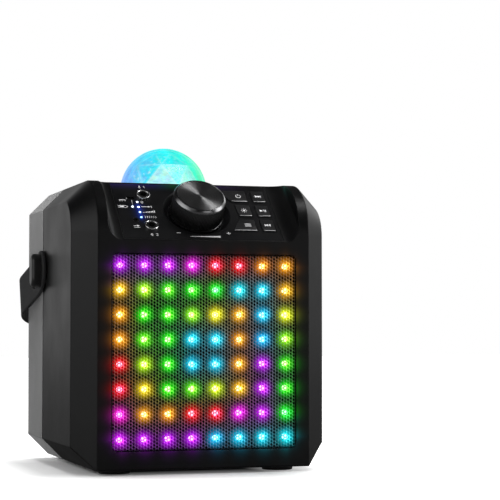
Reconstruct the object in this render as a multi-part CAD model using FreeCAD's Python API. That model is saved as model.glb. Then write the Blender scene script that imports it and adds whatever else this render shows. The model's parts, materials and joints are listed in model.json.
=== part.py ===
# A cube-shaped karaoke speaker: bevelled two-part cabinet, lit grille, sloping control panel between round
# cheeks, light dome on top and a carrying strap on two side lugs.
import FreeCAD, Part
import math
import os

from FreeCAD import Placement, Rotation, Vector

# Driving dimensions, in millimetres and degrees

# Cabinet
CABINET_WIDTH = 235.0
CABINET_HEIGHT = 257.2
CABINET_DEPTH = 235.5
WALL = 3.0
EDGE_BEVEL = 20.0
REAR_BEVEL = 10.0
EDGE_ROUND = 1.5
CHEEK_RADIUS = 48.0
CHEEK_WIDTH = 9.1
SEAM_DEPTH = 149.0
SEAM_GROOVE = 0.8

# Case screws and their bosses
CASE_SCREW_SPREAD = 196.0
CASE_SCREW_LOW = 52.0
CASE_SCREW_HIGH = 214.0
CASE_SCREW_SHANK = 4.0
CASE_SCREW_HEAD = 7.6
CASE_SCREW_HEAD_HEIGHT = 3.0
CASE_SCREW_BITE = 16.0
BOSS_WALL = 2.6
BOSS_FLOOR = 5.0
RIB_THICKNESS = 2.4

# Feet
FOOT_HEIGHT = 4.0
FOOT_DIAMETER = 28.0
FOOT_ROUND = 1.2
FOOT_SPREAD = 152.0
FOOT_FRONT_DEPTH = 27.0
FOOT_REAR_INSET = 27.0
FOOT_SCREW_SHANK = 3.0
FOOT_SCREW_HEAD = 6.0
FOOT_SCREW_HEAD_HEIGHT = 1.8
FOOT_SCREW_SUNK = 2.4

# Grille
GRILLE_LIFT = 16.5
GRILLE_TOP_MARGIN = 11.7
GRILLE_SIDE_MARGIN = 12.0
GRILLE_CORNER = 6.0
GRILLE_RECESS = 1.2
GRILLE_THICKNESS = 1.0
GRILLE_LAP = 4.0
HOLE_SIDES = 6
HOLE_PITCH = 10.6
HOLE_WEB = 2.0

# Lamps behind the grille
LAMP_COUNT = 8
LAMP_SIDE_MARGIN = 9.0
LAMP_END_MARGIN = 10.3
LAMP_SIZE = 5.0
LAMP_HEIGHT = 4.2
LAMP_STRIP = 9.0
LAMP_STANDOFF = 5.8
LAMP_BOARD_THICKNESS = 1.2
LAMP_FRAME_WALL = 4.0

# Loudspeaker
BAFFLE_THICKNESS = 6.0
BAFFLE_POST_RADIUS = 4.0
BAFFLE_POST_INSET = 14.0
SPEAKER_DIAMETER = 148.0
SPEAKER_RIM = 9.0
SPEAKER_FLANGE = 3.0
SPEAKER_DEPTH = 34.0
SPEAKER_SHEET = 1.6
SPEAKER_WINDOWS = 6
SPEAKER_SCREWS = 4
SPEAKER_SCREW_SHANK = 3.0
SPEAKER_SCREW_HEAD = 5.6
SPEAKER_SCREW_HEAD_HEIGHT = 2.2
SURROUND_LIP = 5.5
SURROUND_ROLL = 10.0
SURROUND_THICKNESS = 0.8
CONE_THICKNESS = 0.8
CONE_STROKE = 2.0
COIL_RADIUS = 16.0
COIL_THICKNESS = 0.6
COIL_GAP = 0.9
MAGNET_DIAMETER = 84.0
MAGNET_HEIGHT = 24.0
MAGNET_BACK = 5.0
DUST_CAP_RISE = 6.0

# Control panel
PANEL_SLOPE = 43.0
PANEL_DROP = 55.2
PANEL_THICKNESS = 2.5
PANEL_MARGIN = 1.6
PANEL_LEDGE = 2.5
FLARE_WIDTH = 14.4
FLARE_HEIGHT = 10.0

# Knob, its dish and encoder
DISH_DIAMETER = 62.0
DISH_FLOOR_DIAMETER = 52.4
DISH_DEPTH = 6.0
DISH_WALL = 2.0
KNOB_DIAMETER = 48.2
KNOB_BASE_DIAMETER = 49.6
KNOB_BASE_HEIGHT = 2.4
KNOB_HEIGHT = 19.5
KNOB_BEVEL = 3.0
KNOB_WALL = 2.4
KNOB_FLUTES = 60
KNOB_FLUTE_DEPTH = 0.35
KNOB_PRESS = 0.8
KNOB_CAP_DIAMETER = 41.6
KNOB_CAP_THICKNESS = 1.2
KNOB_CAP_SUNK = 0.5
SHAFT_DIAMETER = 6.0
BUSHING_DIAMETER = 8.0
ENCODER_SIZE = 13.0

# Buttons
BUTTON_ROW_PITCH = 20.85
BUTTON_ROW_SHIFT = 2.4
BUTTON_HEIGHT = 16.0
BUTTON_ARC_RADIUS = 39.4
BUTTON_INNER_EDGE = 20.0
BUTTON_COLUMN_EDGE = 52.0
BUTTON_COLUMN_GAP = 5.3
BUTTON_CORNER = 0.8
BUTTON_PROUD = 1.0
BUTTON_TRAVEL = 0.8
BUTTON_FLANGE = 1.2
BUTTON_STEM = 4.0
SWITCH_SIZE = 6.0
SWITCH_HEIGHT = 3.4

# Control board
BOARD_DROP = 14.0
BOARD_THICKNESS = 1.6
BOARD_MARGIN = 5.0
POST_RING_RADIUS = 34.3
POST_ANGLE = 62.0
POST_RADIUS = 2.0

# Sockets and indicator lights
MIC_COLUMN = -46.1
MIC_ROW_OFFSET = 21.7
MIC_BORE = 6.4
MIC_BARREL = 9.0
MIC_BARREL_HEIGHT = 2.2
MIC_BODY = 15.0
MIC_BODY_LENGTH = 22.0
MIC_BORE_DEPTH = 22.0
MIC_NUT_DIAMETER = 12.8
MIC_NUT_HEIGHT = 2.6
MIC_NUT_ROUND = 0.8
SIDE_COLUMN = -58.6
LINE_OFFSET = -12.9
LINE_BORE = 3.6
LINE_BARREL = 5.8
LINE_BODY = 8.0
LINE_BORE_DEPTH = 10.0
CHARGE_OFFSET = 18.4
CHARGE_WIDTH = 7.8
CHARGE_HEIGHT = 3.2
CHARGE_SHEET = 0.35
CHARGE_TONGUE = 0.7
LIGHT_COLUMN = -53.1
LIGHT_PITCH = 7.2
LIGHT_FIRST_OFFSET = -9.2
LIGHT_DIAMETER = 2.0
LIGHT_PROUD = 0.3
CHARGE_LIGHT_OFFSET = 5.5

# Light dome
DOME_DEPTH = 148.0
DOME_RADIUS = 42.0
DOME_WALL = 2.0
DOME_FLANGE = 2.4
DOME_FLANGE_THICKNESS = 1.4
COLLAR_WIDTH = 5.0
COLLAR_HEIGHT = 3.0
TRAY_DEPTH = 18.0
TRAY_FLANGE = 7.0
DOME_BOARD_DIAMETER = 66.0
DOME_LAMPS = 6
DOME_LAMP_RING = 22.0
DOME_LAMP_HEIGHT = 1.6
LENS_GAP = 1.0
LENS_SIDES = 10
LENS_BELT_ANGLE = 32.0
LENS_CROWN_ANGLE = 62.0
LENS_HUB_RADIUS = 6.0
ROTOR_SHAFT = 3.0
MOTOR_DIAMETER = 24.0
MOTOR_HEIGHT = 18.0

# Strap and lugs
LUG_HEIGHT = 179.0
LUG_NECK = 17.4
LUG_FLANGE = 25.0
LUG_FLANGE_THICKNESS = 3.0
LUG_CAP_LENGTH = 32.0
LUG_CAP_THICKNESS = 8.2
LUG_CAP_ROUND = 3.6
STRAP_WIDTH = 38.0
STRAP_THICKNESS = 3.0
STRAP_HAND_GAP = 30.0
STRAP_DROOP = 17.5
STRAP_SPLAY = 6.0
STRAP_BEND = 120.0
STRAP_STRAIGHT = 14.0
STRAP_CORNER_LEAD = 22.0
STRAP_SLOT = 18.0
STRAP_SLOT_TRAVEL = 26.0
STRAP_SIDE_GAP = 0.5

# Power supply and amplifier
BATTERY_SIZE = (84.0, 42.0, 24.0)
BATTERY_ROUND = 4.0
AMPLIFIER_SIZE = (110.0, 74.0)
AMPLIFIER_HEIGHT = 96.0
AMPLIFIER_STANDOFF = 8.0
AMPLIFIER_POST = 3.0
HEAT_SINK_SIZE = (60.0, 14.0, 22.0)
HEAT_SINK_FINS = 8

# Clearances
FIT_GAP = 0.05
SEAT_GAP = 0.2
SLIDE_GAP = 0.3
TINY = 1e-6

# Places that follow from the sizes above
DROOP_COSINE = math.cos(math.radians(STRAP_DROOP))
DROOP_SINE = math.sin(math.radians(STRAP_DROOP))
STRAP_PAST_REAR = (CABINET_DEPTH - SEAM_DEPTH) / DROOP_COSINE
STRAP_REACH = STRAP_PAST_REAR + STRAP_HAND_GAP / DROOP_COSINE
STRAP_ARM = STRAP_PAST_REAR - STRAP_CORNER_LEAD
REAR_REACH = SEAM_DEPTH + (STRAP_REACH + STRAP_THICKNESS / 2) * DROOP_COSINE + STRAP_WIDTH / 2 * DROOP_SINE
FRONT = -REAR_REACH / 2
REAR = FRONT + CABINET_DEPTH
SEAM = FRONT + SEAM_DEPTH
FLOOR = FOOT_HEIGHT
TOP = FLOOR + CABINET_HEIGHT
HALF_WIDTH = CABINET_WIDTH / 2

GRILLE_WIDTH = CABINET_WIDTH - 2 * EDGE_BEVEL - 2 * GRILLE_SIDE_MARGIN
GRILLE_HEIGHT = CABINET_HEIGHT - PANEL_DROP - GRILLE_LIFT - GRILLE_TOP_MARGIN
GRILLE_MIDDLE = FLOOR + GRILLE_LIFT + GRILLE_HEIGHT / 2
GRILLE_FRONT = FRONT + GRILLE_RECESS
GRILLE_BACK = GRILLE_FRONT + GRILLE_THICKNESS
LAMP_BOARD_FRONT = GRILLE_BACK + LAMP_STANDOFF
BAFFLE_FRONT = LAMP_BOARD_FRONT + LAMP_BOARD_THICKNESS
BAFFLE_BACK = BAFFLE_FRONT + BAFFLE_THICKNESS
BEHIND_GRILLE_WIDTH = GRILLE_WIDTH + 2 * GRILLE_LAP
BEHIND_GRILLE_HEIGHT = GRILLE_HEIGHT + 2 * GRILLE_LAP
BAFFLE_POST_X = BEHIND_GRILLE_WIDTH / 2 + BAFFLE_POST_RADIUS + SEAT_GAP

RECESS_WIDTH = CABINET_WIDTH - 2 * EDGE_BEVEL - 2 * CHEEK_WIDTH
PANEL_WIDTH = RECESS_WIDTH - 2 * FLARE_WIDTH
SLOPE_LENGTH = PANEL_DROP / math.sin(math.radians(PANEL_SLOPE))
KNOB_UP = SLOPE_LENGTH / 2
BUTTON_OUTER_EDGE = PANEL_WIDTH / 2 - PANEL_LEDGE - BUTTON_FLANGE - 2 * SLIDE_GAP
BUTTON_OUTER_START = BUTTON_COLUMN_EDGE + BUTTON_COLUMN_GAP
PANEL_FRAME = Placement(Vector(0, FRONT, TOP - PANEL_DROP), Rotation(Vector(1, 0, 0), PANEL_SLOPE))
BOARD_TOP = -BOARD_DROP
DISH_FLOOR = -DISH_DEPTH
KNOB_FOOT = DISH_FLOOR + KNOB_PRESS + SLIDE_GAP

DOME_CENTRE = Vector(0, FRONT + DOME_DEPTH, TOP)
TRAY_TOP = TOP - WALL
TRAY_FLOOR = TRAY_TOP - TRAY_DEPTH
DOME_HOLE = DOME_RADIUS - DOME_WALL
LENS_RADIUS = DOME_RADIUS - DOME_WALL - LENS_GAP

LUG_CENTRE_Z = FLOOR + LUG_HEIGHT
STRAP_MIDDLE_X = HALF_WIDTH + STRAP_SIDE_GAP + STRAP_THICKNESS / 2
LUG_CAP_X = STRAP_MIDDLE_X + STRAP_THICKNESS / 2 + STRAP_SIDE_GAP


# General forms
def box(x_range, y_range, z_range):
    corner = Vector(x_range[0], y_range[0], z_range[0])
    return Part.makeBox(x_range[1] - x_range[0], y_range[1] - y_range[0], z_range[1] - z_range[0], corner)


def centred_box(size_x, size_y, z_range, x=0.0, y=0.0):
    return box((x - size_x / 2, x + size_x / 2), (y - size_y / 2, y + size_y / 2), z_range)


def rod(radius, start, end):
    """A cylinder from one point to another."""
    axis = end.sub(start)
    return Part.makeCylinder(radius, axis.Length, start, axis)


def upright(radius, x, y, z_range):
    return rod(radius, Vector(x, y, z_range[0]), Vector(x, y, z_range[1]))


def turned(outline, centre=Vector(0, 0, 0), axis=Vector(0, 0, 1)):
    """A solid turned from a closed outline of (radius, height) points about an axis through centre."""
    points = [Vector(radius, 0, height) for radius, height in outline]
    face = Part.Face(Part.makePolygon(points + points[:1]))
    solid = face.revolve(Vector(0, 0, 0), Vector(0, 0, 1), 360)
    solid.Placement = Placement(centre, Rotation(Vector(0, 0, 1), axis))
    return solid


def along(shape, direction):
    """The edges of a shape that run straight along a direction."""
    edges = []
    for edge in shape.Edges:
        span = edge.Vertexes[-1].Point.sub(edge.Vertexes[0].Point)
        if edge.Curve.TypeId == "Part::GeomLine" and span.cross(direction).Length < TINY:
            edges.append(edge)
    return edges


def edges_at(shape, axis, place):
    """The edges of a shape whose ends lie at one place along an axis."""
    def at_place(edge):
        return all(abs(getattr(end, axis) - place) < TINY for end in edge.Vertexes)

    return [edge for edge in shape.Edges if at_place(edge)]


def rounded_box(x_range, y_range, z_range, radius, direction):
    """A box with the four edges along one direction rounded."""
    block = box(x_range, y_range, z_range)
    return block.makeFillet(radius, along(block, direction))


def fused(shapes):
    return shapes[0].multiFuse(shapes[1:]).removeSplitter()


def ring_of(count, radius, start=0.0):
    """Evenly spaced points on a circle."""
    angles = [math.radians(start) + 2 * math.pi * index / count for index in range(count)]
    return [(radius * math.cos(angle), radius * math.sin(angle)) for angle in angles]


def on_panel(shape):
    """Moves a shape from panel axes (across, up the slope, outwards) into the cabinet."""
    shape.Placement = PANEL_FRAME.multiply(shape.Placement)
    return shape


# Cabinet
def cabinet_form(inset):
    """The cabinet's outside with every face moved inwards: side profile, side bevels, then rear bevel."""
    front, rear = FRONT + inset, REAR - inset
    low, high = FLOOR + inset, TOP - inset
    half = HALF_WIDTH - inset
    radius = CHEEK_RADIUS - inset
    shrink = inset * (2 - math.sqrt(2))
    hub = Vector(-half, front + radius, high - radius)
    arc_start = Vector(-half, front, high - radius)
    arc_middle = hub.add(Vector(0, -radius, radius).multiply(math.sqrt(0.5)))
    arc_end = Vector(-half, front + radius, high)
    corners = [arc_end]
    corners += [Vector(-half, y, z) for y, z in ((rear, high), (rear, low), (front, low))]
    corners.append(arc_start)
    sides = [Part.LineSegment(a, b).toShape() for a, b in zip(corners, corners[1:])]
    sides.append(Part.Arc(arc_start, arc_middle, arc_end).toShape())
    solid = Part.Face(Part.Wire(sides)).extrude(Vector(2 * half, 0, 0))
    side_edges = []
    for edge in solid.Edges:
        points = [vertex.Point for vertex in edge.Vertexes]
        across = abs(points[0].x - points[-1].x) > TINY
        at_rear = all(abs(point.y - rear) < TINY for point in points)
        if not across and not at_rear:
            side_edges.append(edge)
    solid = solid.makeChamfer(EDGE_BEVEL - shrink, side_edges)
    back = max(solid.Faces, key=lambda face: face.CenterOfMass.y)
    return solid.makeChamfer(REAR_BEVEL - shrink, back.OuterWire.Edges)


def panel_recess(floor, grow):
    """The hollow above the control panel, flared in an arc at its foot, in panel axes."""
    foot, rim, roof = PANEL_WIDTH / 2 + grow, RECESS_WIDTH / 2 + grow, 2 * CHEEK_RADIUS
    bow = 1 - math.sqrt(0.5)
    halfway = (rim - bow * (rim - foot), floor + bow * (FLARE_HEIGHT - floor))

    def side(sign):
        ends = [(foot, floor), halfway, (rim, FLARE_HEIGHT), (rim, roof)]
        start, middle, end, top = [Vector(sign * x, -CHEEK_RADIUS, height) for x, height in ends]
        return [Part.Arc(start, middle, end).toShape(), Part.LineSegment(end, top).toShape()]

    lines = []
    for half, height in ((foot, floor), (rim, roof)):
        across = [Vector(x, -CHEEK_RADIUS, height) for x in (-half, half)]
        lines.append(Part.LineSegment(*across).toShape())
    outline = Part.Wire(Part.__sortEdges__(side(-1) + side(1) + lines))
    return on_panel(Part.Face(outline).extrude(Vector(0, SLOPE_LENGTH + 2 * CHEEK_RADIUS, 0)))


def panel_seat():
    """The rebate that takes the control panel and the opening under it, in panel axes."""
    half = PANEL_WIDTH / 2
    start, end = PANEL_MARGIN, SLOPE_LENGTH - PANEL_MARGIN
    rebate = box((-half, half), (start, end), (-PANEL_THICKNESS, FLARE_HEIGHT))
    depth = -PANEL_THICKNESS - 4 * WALL
    across = half - PANEL_LEDGE
    opening = box((-across, across), (start + PANEL_LEDGE, end - PANEL_LEDGE), (depth, FLARE_HEIGHT))
    return on_panel(rebate.fuse(opening))


def case_screw_places():
    half = CASE_SCREW_SPREAD / 2
    heights = (FLOOR + CASE_SCREW_LOW, FLOOR + CASE_SCREW_HIGH)
    return [Vector(x, SEAM, z) for x in (-half, half) for z in heights]


def foot_places():
    half = FOOT_SPREAD / 2
    depths = {"front": FRONT + FOOT_FRONT_DEPTH, "rear": REAR - FOOT_REAR_INSET}
    sides = {"left": -half, "right": half}
    return {f"foot_{row}_{side}": (sides[side], depths[row]) for row in depths for side in sides}


def baffle_post_places():
    rise = BEHIND_GRILLE_HEIGHT / 2 - BAFFLE_POST_INSET
    return [(side * BAFFLE_POST_X, GRILLE_MIDDLE + up * rise) for side in (-1, 1) for up in (-1, 1)]


def boss_rib(place, y_range):
    """A rib that ties a boss to the nearest side wall."""
    side = math.copysign(1, place.x)
    x_range = sorted((place.x, side * (HALF_WIDTH - WALL / 2)))
    return box(x_range, y_range, (place.z - RIB_THICKNESS / 2, place.z + RIB_THICKNESS / 2))


def shell_halves():
    """Front and rear shells: one hollow form cut at the seam, each half with its own bosses and openings."""
    outside = cabinet_form(0.0)
    outside = outside.makeFillet(EDGE_ROUND, outside.Edges)
    hollow = cabinet_form(WALL).cut(panel_recess(-PANEL_THICKNESS - WALL, WALL))
    body = outside.cut(panel_recess(0.0, 0.0)).cut(hollow)
    skin = cabinet_form(-1.0).cut(cabinet_form(SEAM_GROOVE))
    reach = 2 * CABINET_DEPTH
    band = box((-reach, reach), (SEAM - SEAM_GROOVE / 2, SEAM + SEAM_GROOVE / 2), (-reach, reach))
    lug_ends = [Vector(x, SEAM, LUG_CENTRE_Z) for x in (-CABINET_WIDTH, CABINET_WIDTH)]
    lug_hole = rod(LUG_NECK / 2 + SEAT_GAP, *lug_ends)
    dome_hole = upright(DOME_HOLE, DOME_CENTRE.x, DOME_CENTRE.y, (TRAY_FLOOR, TOP + COLLAR_HEIGHT))
    body = body.cut(Part.makeCompound([skin.common(band)])).cut(lug_hole).cut(dome_hole)
    for x, y in foot_places().values():
        body = body.cut(upright(FOOT_SCREW_SHANK / 2 + FIT_GAP, x, y, (0, FLOOR + 2 * WALL)))
    front_half = box((-reach, reach), (-reach, SEAM), (-reach, reach))
    return front_shell(body.common(front_half)), rear_shell(body.cut(front_half))


def front_shell(shell):
    half_x, half_z = GRILLE_WIDTH / 2, GRILLE_HEIGHT / 2
    lap_x, lap_z = BEHIND_GRILLE_WIDTH / 2, BEHIND_GRILLE_HEIGHT / 2
    middle = GRILLE_MIDDLE
    pieces = [shell]
    for place in case_screw_places():
        y_range = (SEAM - CASE_SCREW_BITE - BOSS_WALL, SEAM)
        pieces.append(rod(CASE_SCREW_SHANK / 2 + BOSS_WALL, Vector(place.x, y_range[0], place.z), place))
        pieces.append(boss_rib(place, y_range))
    for x, z in baffle_post_places():
        pieces.append(rod(BAFFLE_POST_RADIUS, Vector(x, FRONT + WALL / 2, z), Vector(x, BAFFLE_FRONT, z)))
    shell = fused(pieces)
    opening = rounded_box(
        (-half_x, half_x), (FRONT - WALL, BAFFLE_FRONT), (middle - half_z, middle + half_z),
        GRILLE_CORNER, Vector(0, 1, 0),
    )
    rebate = box((-lap_x, lap_x), (GRILLE_FRONT, LAMP_BOARD_FRONT), (middle - lap_z, middle + lap_z))
    shell = shell.cut(opening).cut(rebate).cut(panel_seat())
    for place in case_screw_places():
        start = Vector(place.x, SEAM - CASE_SCREW_BITE, place.z)
        shell = shell.cut(rod(CASE_SCREW_SHANK / 2 + FIT_GAP, start, place))
    return shell


def rear_shell(shell):
    pieces = [shell]
    bore = CASE_SCREW_HEAD / 2 + SEAT_GAP
    for place in case_screw_places():
        end = Vector(place.x, REAR - WALL / 2, place.z)
        pieces.append(rod(bore + BOSS_WALL, place, end))
        pieces.append(boss_rib(place, (SEAM, REAR - REAR_BEVEL)))
    for x, z in amplifier_posts():
        start = Vector(x, REAR - WALL - AMPLIFIER_STANDOFF, z)
        pieces.append(rod(AMPLIFIER_POST, start, Vector(x, REAR - WALL / 2, z)))
    shell = fused(pieces)
    for place in case_screw_places():
        seat = Vector(place.x, SEAM + BOSS_FLOOR, place.z)
        shell = shell.cut(rod(bore, seat, Vector(place.x, REAR + WALL, place.z)))
        shell = shell.cut(rod(CASE_SCREW_SHANK / 2 + FIT_GAP, place, seat))
    return shell


def case_screws():
    screws = []
    for place in case_screw_places():
        seat = Vector(place.x, SEAM + BOSS_FLOOR, place.z)
        tip = Vector(place.x, SEAM - CASE_SCREW_BITE + SEAT_GAP, place.z)
        head_end = Vector(place.x, seat.y + CASE_SCREW_HEAD_HEIGHT, place.z)
        screws.append(fused([rod(CASE_SCREW_SHANK / 2, tip, seat), rod(CASE_SCREW_HEAD / 2, seat, head_end)]))
    return Part.makeCompound(screws)


def foot(x, y):
    """A rubber disc with a rounded tread and a sunk hole for its screw."""
    disc = upright(FOOT_DIAMETER / 2, x, y, (0, FOOT_HEIGHT))
    disc = disc.makeFillet(FOOT_ROUND, edges_at(disc, "Z", 0))
    sink = upright(FOOT_SCREW_HEAD / 2 + SEAT_GAP, x, y, (0, FOOT_SCREW_SUNK))
    return disc.cut(sink).cut(upright(FOOT_SCREW_SHANK / 2 + FIT_GAP, x, y, (0, FOOT_HEIGHT)))


def foot_screws():
    screws = []
    for x, y in foot_places().values():
        head = upright(FOOT_SCREW_HEAD / 2, x, y, (FOOT_SCREW_SUNK - FOOT_SCREW_HEAD_HEIGHT, FOOT_SCREW_SUNK))
        shank = upright(FOOT_SCREW_SHANK / 2, x, y, (FOOT_SCREW_SUNK, FLOOR + WALL))
        screws.append(fused([head, shank]))
    return Part.makeCompound(screws)


# Grille and lamps
def grille():
    """A perforated sheet: one face with staggered hexagonal holes, thickened."""
    half_x = BEHIND_GRILLE_WIDTH / 2 - SEAT_GAP
    half_z = BEHIND_GRILLE_HEIGHT / 2 - SEAT_GAP
    corners = [(-half_x, -half_z), (half_x, -half_z), (half_x, half_z), (-half_x, half_z)]
    points = [Vector(x, GRILLE_FRONT, GRILLE_MIDDLE + z) for x, z in corners]
    wires = [Part.makePolygon(points + points[:1])]
    row_pitch = HOLE_PITCH * math.sqrt(0.75)
    corner_radius = (HOLE_PITCH - HOLE_WEB) / math.sqrt(3)
    rows = int((GRILLE_HEIGHT / 2 - corner_radius) // row_pitch)
    hole_corners = [Vector(x, 0, z) for x, z in ring_of(HOLE_SIDES, corner_radius, 180 / HOLE_SIDES)]
    for row in range(-rows, rows + 1):
        shift = HOLE_PITCH / 2 if row % 2 else 0.0
        columns = int((GRILLE_WIDTH / 2 - HOLE_PITCH / 2 + shift) // HOLE_PITCH)
        for column in range(-columns, columns + 1 - (row % 2)):
            centre = Vector(column * HOLE_PITCH + shift, GRILLE_FRONT, GRILLE_MIDDLE + row * row_pitch)
            hexagon = [centre.add(corner) for corner in hole_corners]
            wires.append(Part.makePolygon(hexagon + hexagon[:1]))
    return Part.Face(wires, "Part::FaceMakerCheese").extrude(Vector(0, GRILLE_THICKNESS, 0))


def lamp_places():
    half_x = GRILLE_WIDTH / 2 - LAMP_SIDE_MARGIN
    half_z = GRILLE_HEIGHT / 2 - LAMP_END_MARGIN
    steps = [2 * index / (LAMP_COUNT - 1) - 1 for index in range(LAMP_COUNT)]
    return [half_x * step for step in steps], [GRILLE_MIDDLE + half_z * step for step in steps]


def lamp_frame():
    half_x = BEHIND_GRILLE_WIDTH / 2 - SEAT_GAP
    half_z = BEHIND_GRILLE_HEIGHT / 2 - SEAT_GAP
    depth = (GRILLE_BACK, LAMP_BOARD_FRONT)
    block = box((-half_x, half_x), depth, (GRILLE_MIDDLE - half_z, GRILLE_MIDDLE + half_z))
    inner_x, inner_z = half_x - LAMP_FRAME_WALL, half_z - LAMP_FRAME_WALL
    return block.cut(box((-inner_x, inner_x), depth, (GRILLE_MIDDLE - inner_z, GRILLE_MIDDLE + inner_z)))


def lamp_board():
    """A ladder of lamp strips, open between the rows so that sound passes."""
    half_x = BEHIND_GRILLE_WIDTH / 2 - SEAT_GAP
    half_z = BEHIND_GRILLE_HEIGHT / 2 - SEAT_GAP
    depth = (LAMP_BOARD_FRONT, BAFFLE_FRONT)
    board = box((-half_x, half_x), depth, (GRILLE_MIDDLE - half_z, GRILLE_MIDDLE + half_z))
    slot_x = half_x - 2 * LAMP_FRAME_WALL
    heights = lamp_places()[1]
    for low, high in zip(heights, heights[1:]):
        board = board.cut(box((-slot_x, slot_x), depth, (low + LAMP_STRIP / 2, high - LAMP_STRIP / 2)))
    return board


def lamps():
    columns, heights = lamp_places()
    half = LAMP_SIZE / 2
    depth = (LAMP_BOARD_FRONT - LAMP_HEIGHT, LAMP_BOARD_FRONT)
    lamp = box((-half, half), depth, (-half, half))
    return Part.makeCompound([lamp.translated(Vector(x, 0, z)) for z in heights for x in columns])


# Loudspeaker, in axes with height along the speaker's axis and zero at the back of the baffle
def on_speaker(shape):
    frame = Placement(Vector(0, BAFFLE_BACK, GRILLE_MIDDLE), Rotation(Vector(1, 0, 0), -90))
    shape.Placement = frame.multiply(shape.Placement)
    return shape


SPEAKER_RADIUS = SPEAKER_DIAMETER / 2
SPEAKER_MOUTH = SPEAKER_RADIUS - SPEAKER_RIM
SURROUND_OUTER = SPEAKER_MOUTH - SURROUND_LIP - SEAT_GAP
CONE_RADIUS = SURROUND_OUTER - SURROUND_ROLL - SLIDE_GAP
SPEAKER_BACK = SPEAKER_FLANGE + SPEAKER_DEPTH
CONE_NECK_HEIGHT = SPEAKER_DEPTH / 2
COIL_END = SPEAKER_BACK + MAGNET_HEIGHT - MAGNET_BACK - CONE_STROKE - SLIDE_GAP
SPEAKER_SCREW_RING = SPEAKER_RADIUS - SPEAKER_RIM / 2


def speaker_baffle():
    half_x = BAFFLE_POST_X + BAFFLE_POST_RADIUS
    half_z = BEHIND_GRILLE_HEIGHT / 2
    heights = (GRILLE_MIDDLE - half_z, GRILLE_MIDDLE + half_z)
    board = box((-half_x, half_x), (BAFFLE_FRONT, BAFFLE_BACK), heights)
    board = board.cut(on_speaker(upright(SPEAKER_MOUTH, 0, 0, (-2 * BAFFLE_THICKNESS, BAFFLE_THICKNESS))))
    for x, y in ring_of(SPEAKER_SCREWS, SPEAKER_SCREW_RING, 45):
        hole = upright(SPEAKER_SCREW_SHANK / 2 + FIT_GAP, x, y, (-BAFFLE_THICKNESS + SEAT_GAP, 0))
        board = board.cut(on_speaker(hole))
    return board


def speaker_basket():
    """A pressed bowl with windows between its legs and a flange for the screws."""
    flange_inner = SURROUND_OUTER
    plate = MAGNET_DIAMETER / 2
    hole = COIL_RADIUS + COIL_GAP
    bowl = turned([
        (flange_inner, 0), (SPEAKER_RADIUS, 0), (SPEAKER_RADIUS, SPEAKER_FLANGE),
        (flange_inner + SPEAKER_SHEET, SPEAKER_FLANGE), (plate, SPEAKER_BACK), (hole, SPEAKER_BACK),
        (hole, SPEAKER_BACK - SPEAKER_SHEET), (plate - SPEAKER_SHEET, SPEAKER_BACK - SPEAKER_SHEET),
        (flange_inner, SPEAKER_FLANGE),
    ])
    width = 2 * math.pi * plate / SPEAKER_WINDOWS / 2
    heights = (SPEAKER_FLANGE + 2 * SPEAKER_SHEET, SPEAKER_BACK - 2 * SPEAKER_SHEET)
    for index in range(SPEAKER_WINDOWS):
        window = box((plate / 2, SPEAKER_RADIUS), (-width / 2, width / 2), heights)
        window.rotate(Vector(0, 0, 0), Vector(0, 0, 1), 360 * index / SPEAKER_WINDOWS)
        bowl = bowl.cut(window)
    for x, y in ring_of(SPEAKER_SCREWS, SPEAKER_SCREW_RING, 45):
        bowl = bowl.cut(upright(SPEAKER_SCREW_SHANK / 2 + FIT_GAP, x, y, (0, SPEAKER_FLANGE)))
    return on_speaker(bowl)


def speaker_surround():
    """A half-round roll between the cone and a flat lip glued to the flange."""
    middle = SURROUND_OUTER - SURROUND_ROLL / 2
    radius = SURROUND_ROLL / 2
    thick = SURROUND_THICKNESS
    half_rolls = []
    for size in (radius, radius - thick):
        ends = [Vector(middle - size, 0, 0), Vector(middle + size, 0, 0)]
        arc = Part.Arc(ends[0], Vector(middle, 0, -size), ends[1]).toShape()
        chord = Part.LineSegment(*ends).toShape()
        face = Part.Face(Part.Wire([arc, chord]))
        half_rolls.append(face.revolve(Vector(0, 0, 0), Vector(0, 0, 1), 360))
    roll = half_rolls[0].cut(half_rolls[1])
    inside = SURROUND_OUTER - thick / 2
    outside = SURROUND_OUTER + SURROUND_LIP
    lip = turned([(inside, 0), (inside, -thick), (outside, -thick), (outside, 0)])
    return on_speaker(fused([roll, lip]))


def speaker_cone():
    """A paper cone with its coil former, open at both ends."""
    neck = COIL_RADIUS
    inner = COIL_RADIUS - COIL_THICKNESS
    rise = CONE_THICKNESS * 2
    outline = [
        (CONE_RADIUS, 0), (CONE_RADIUS, CONE_THICKNESS), (neck, CONE_NECK_HEIGHT + rise), (neck, COIL_END),
        (inner, COIL_END), (inner, CONE_NECK_HEIGHT),
    ]
    return on_speaker(turned(outline))


def dust_cap():
    """A thin spherical cap glued over the neck of the cone."""
    edge = COIL_RADIUS - COIL_THICKNESS - FIT_GAP
    radius = (edge ** 2 + DUST_CAP_RISE ** 2) / (2 * DUST_CAP_RISE)
    centre = Vector(0, 0, CONE_NECK_HEIGHT + CONE_THICKNESS - DUST_CAP_RISE + radius)
    shell = Part.makeSphere(radius, centre).cut(Part.makeSphere(radius - CONE_THICKNESS, centre))
    keep = upright(edge, 0, 0, (-SPEAKER_DEPTH, CONE_NECK_HEIGHT + CONE_THICKNESS))
    return on_speaker(shell.common(keep))


def speaker_magnet():
    """Ring magnet, back plate and pole in one, with the gap that the coil runs in."""
    outer, pole, mouth = MAGNET_DIAMETER / 2, COIL_RADIUS - COIL_THICKNESS - COIL_GAP, COIL_RADIUS + COIL_GAP
    front, back = SPEAKER_BACK, SPEAKER_BACK + MAGNET_HEIGHT
    outline = [
        (0, front), (pole, front), (pole, back - MAGNET_BACK), (mouth, back - MAGNET_BACK), (mouth, front),
        (outer, front), (outer, back), (0, back),
    ]
    return on_speaker(turned(outline))


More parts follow.
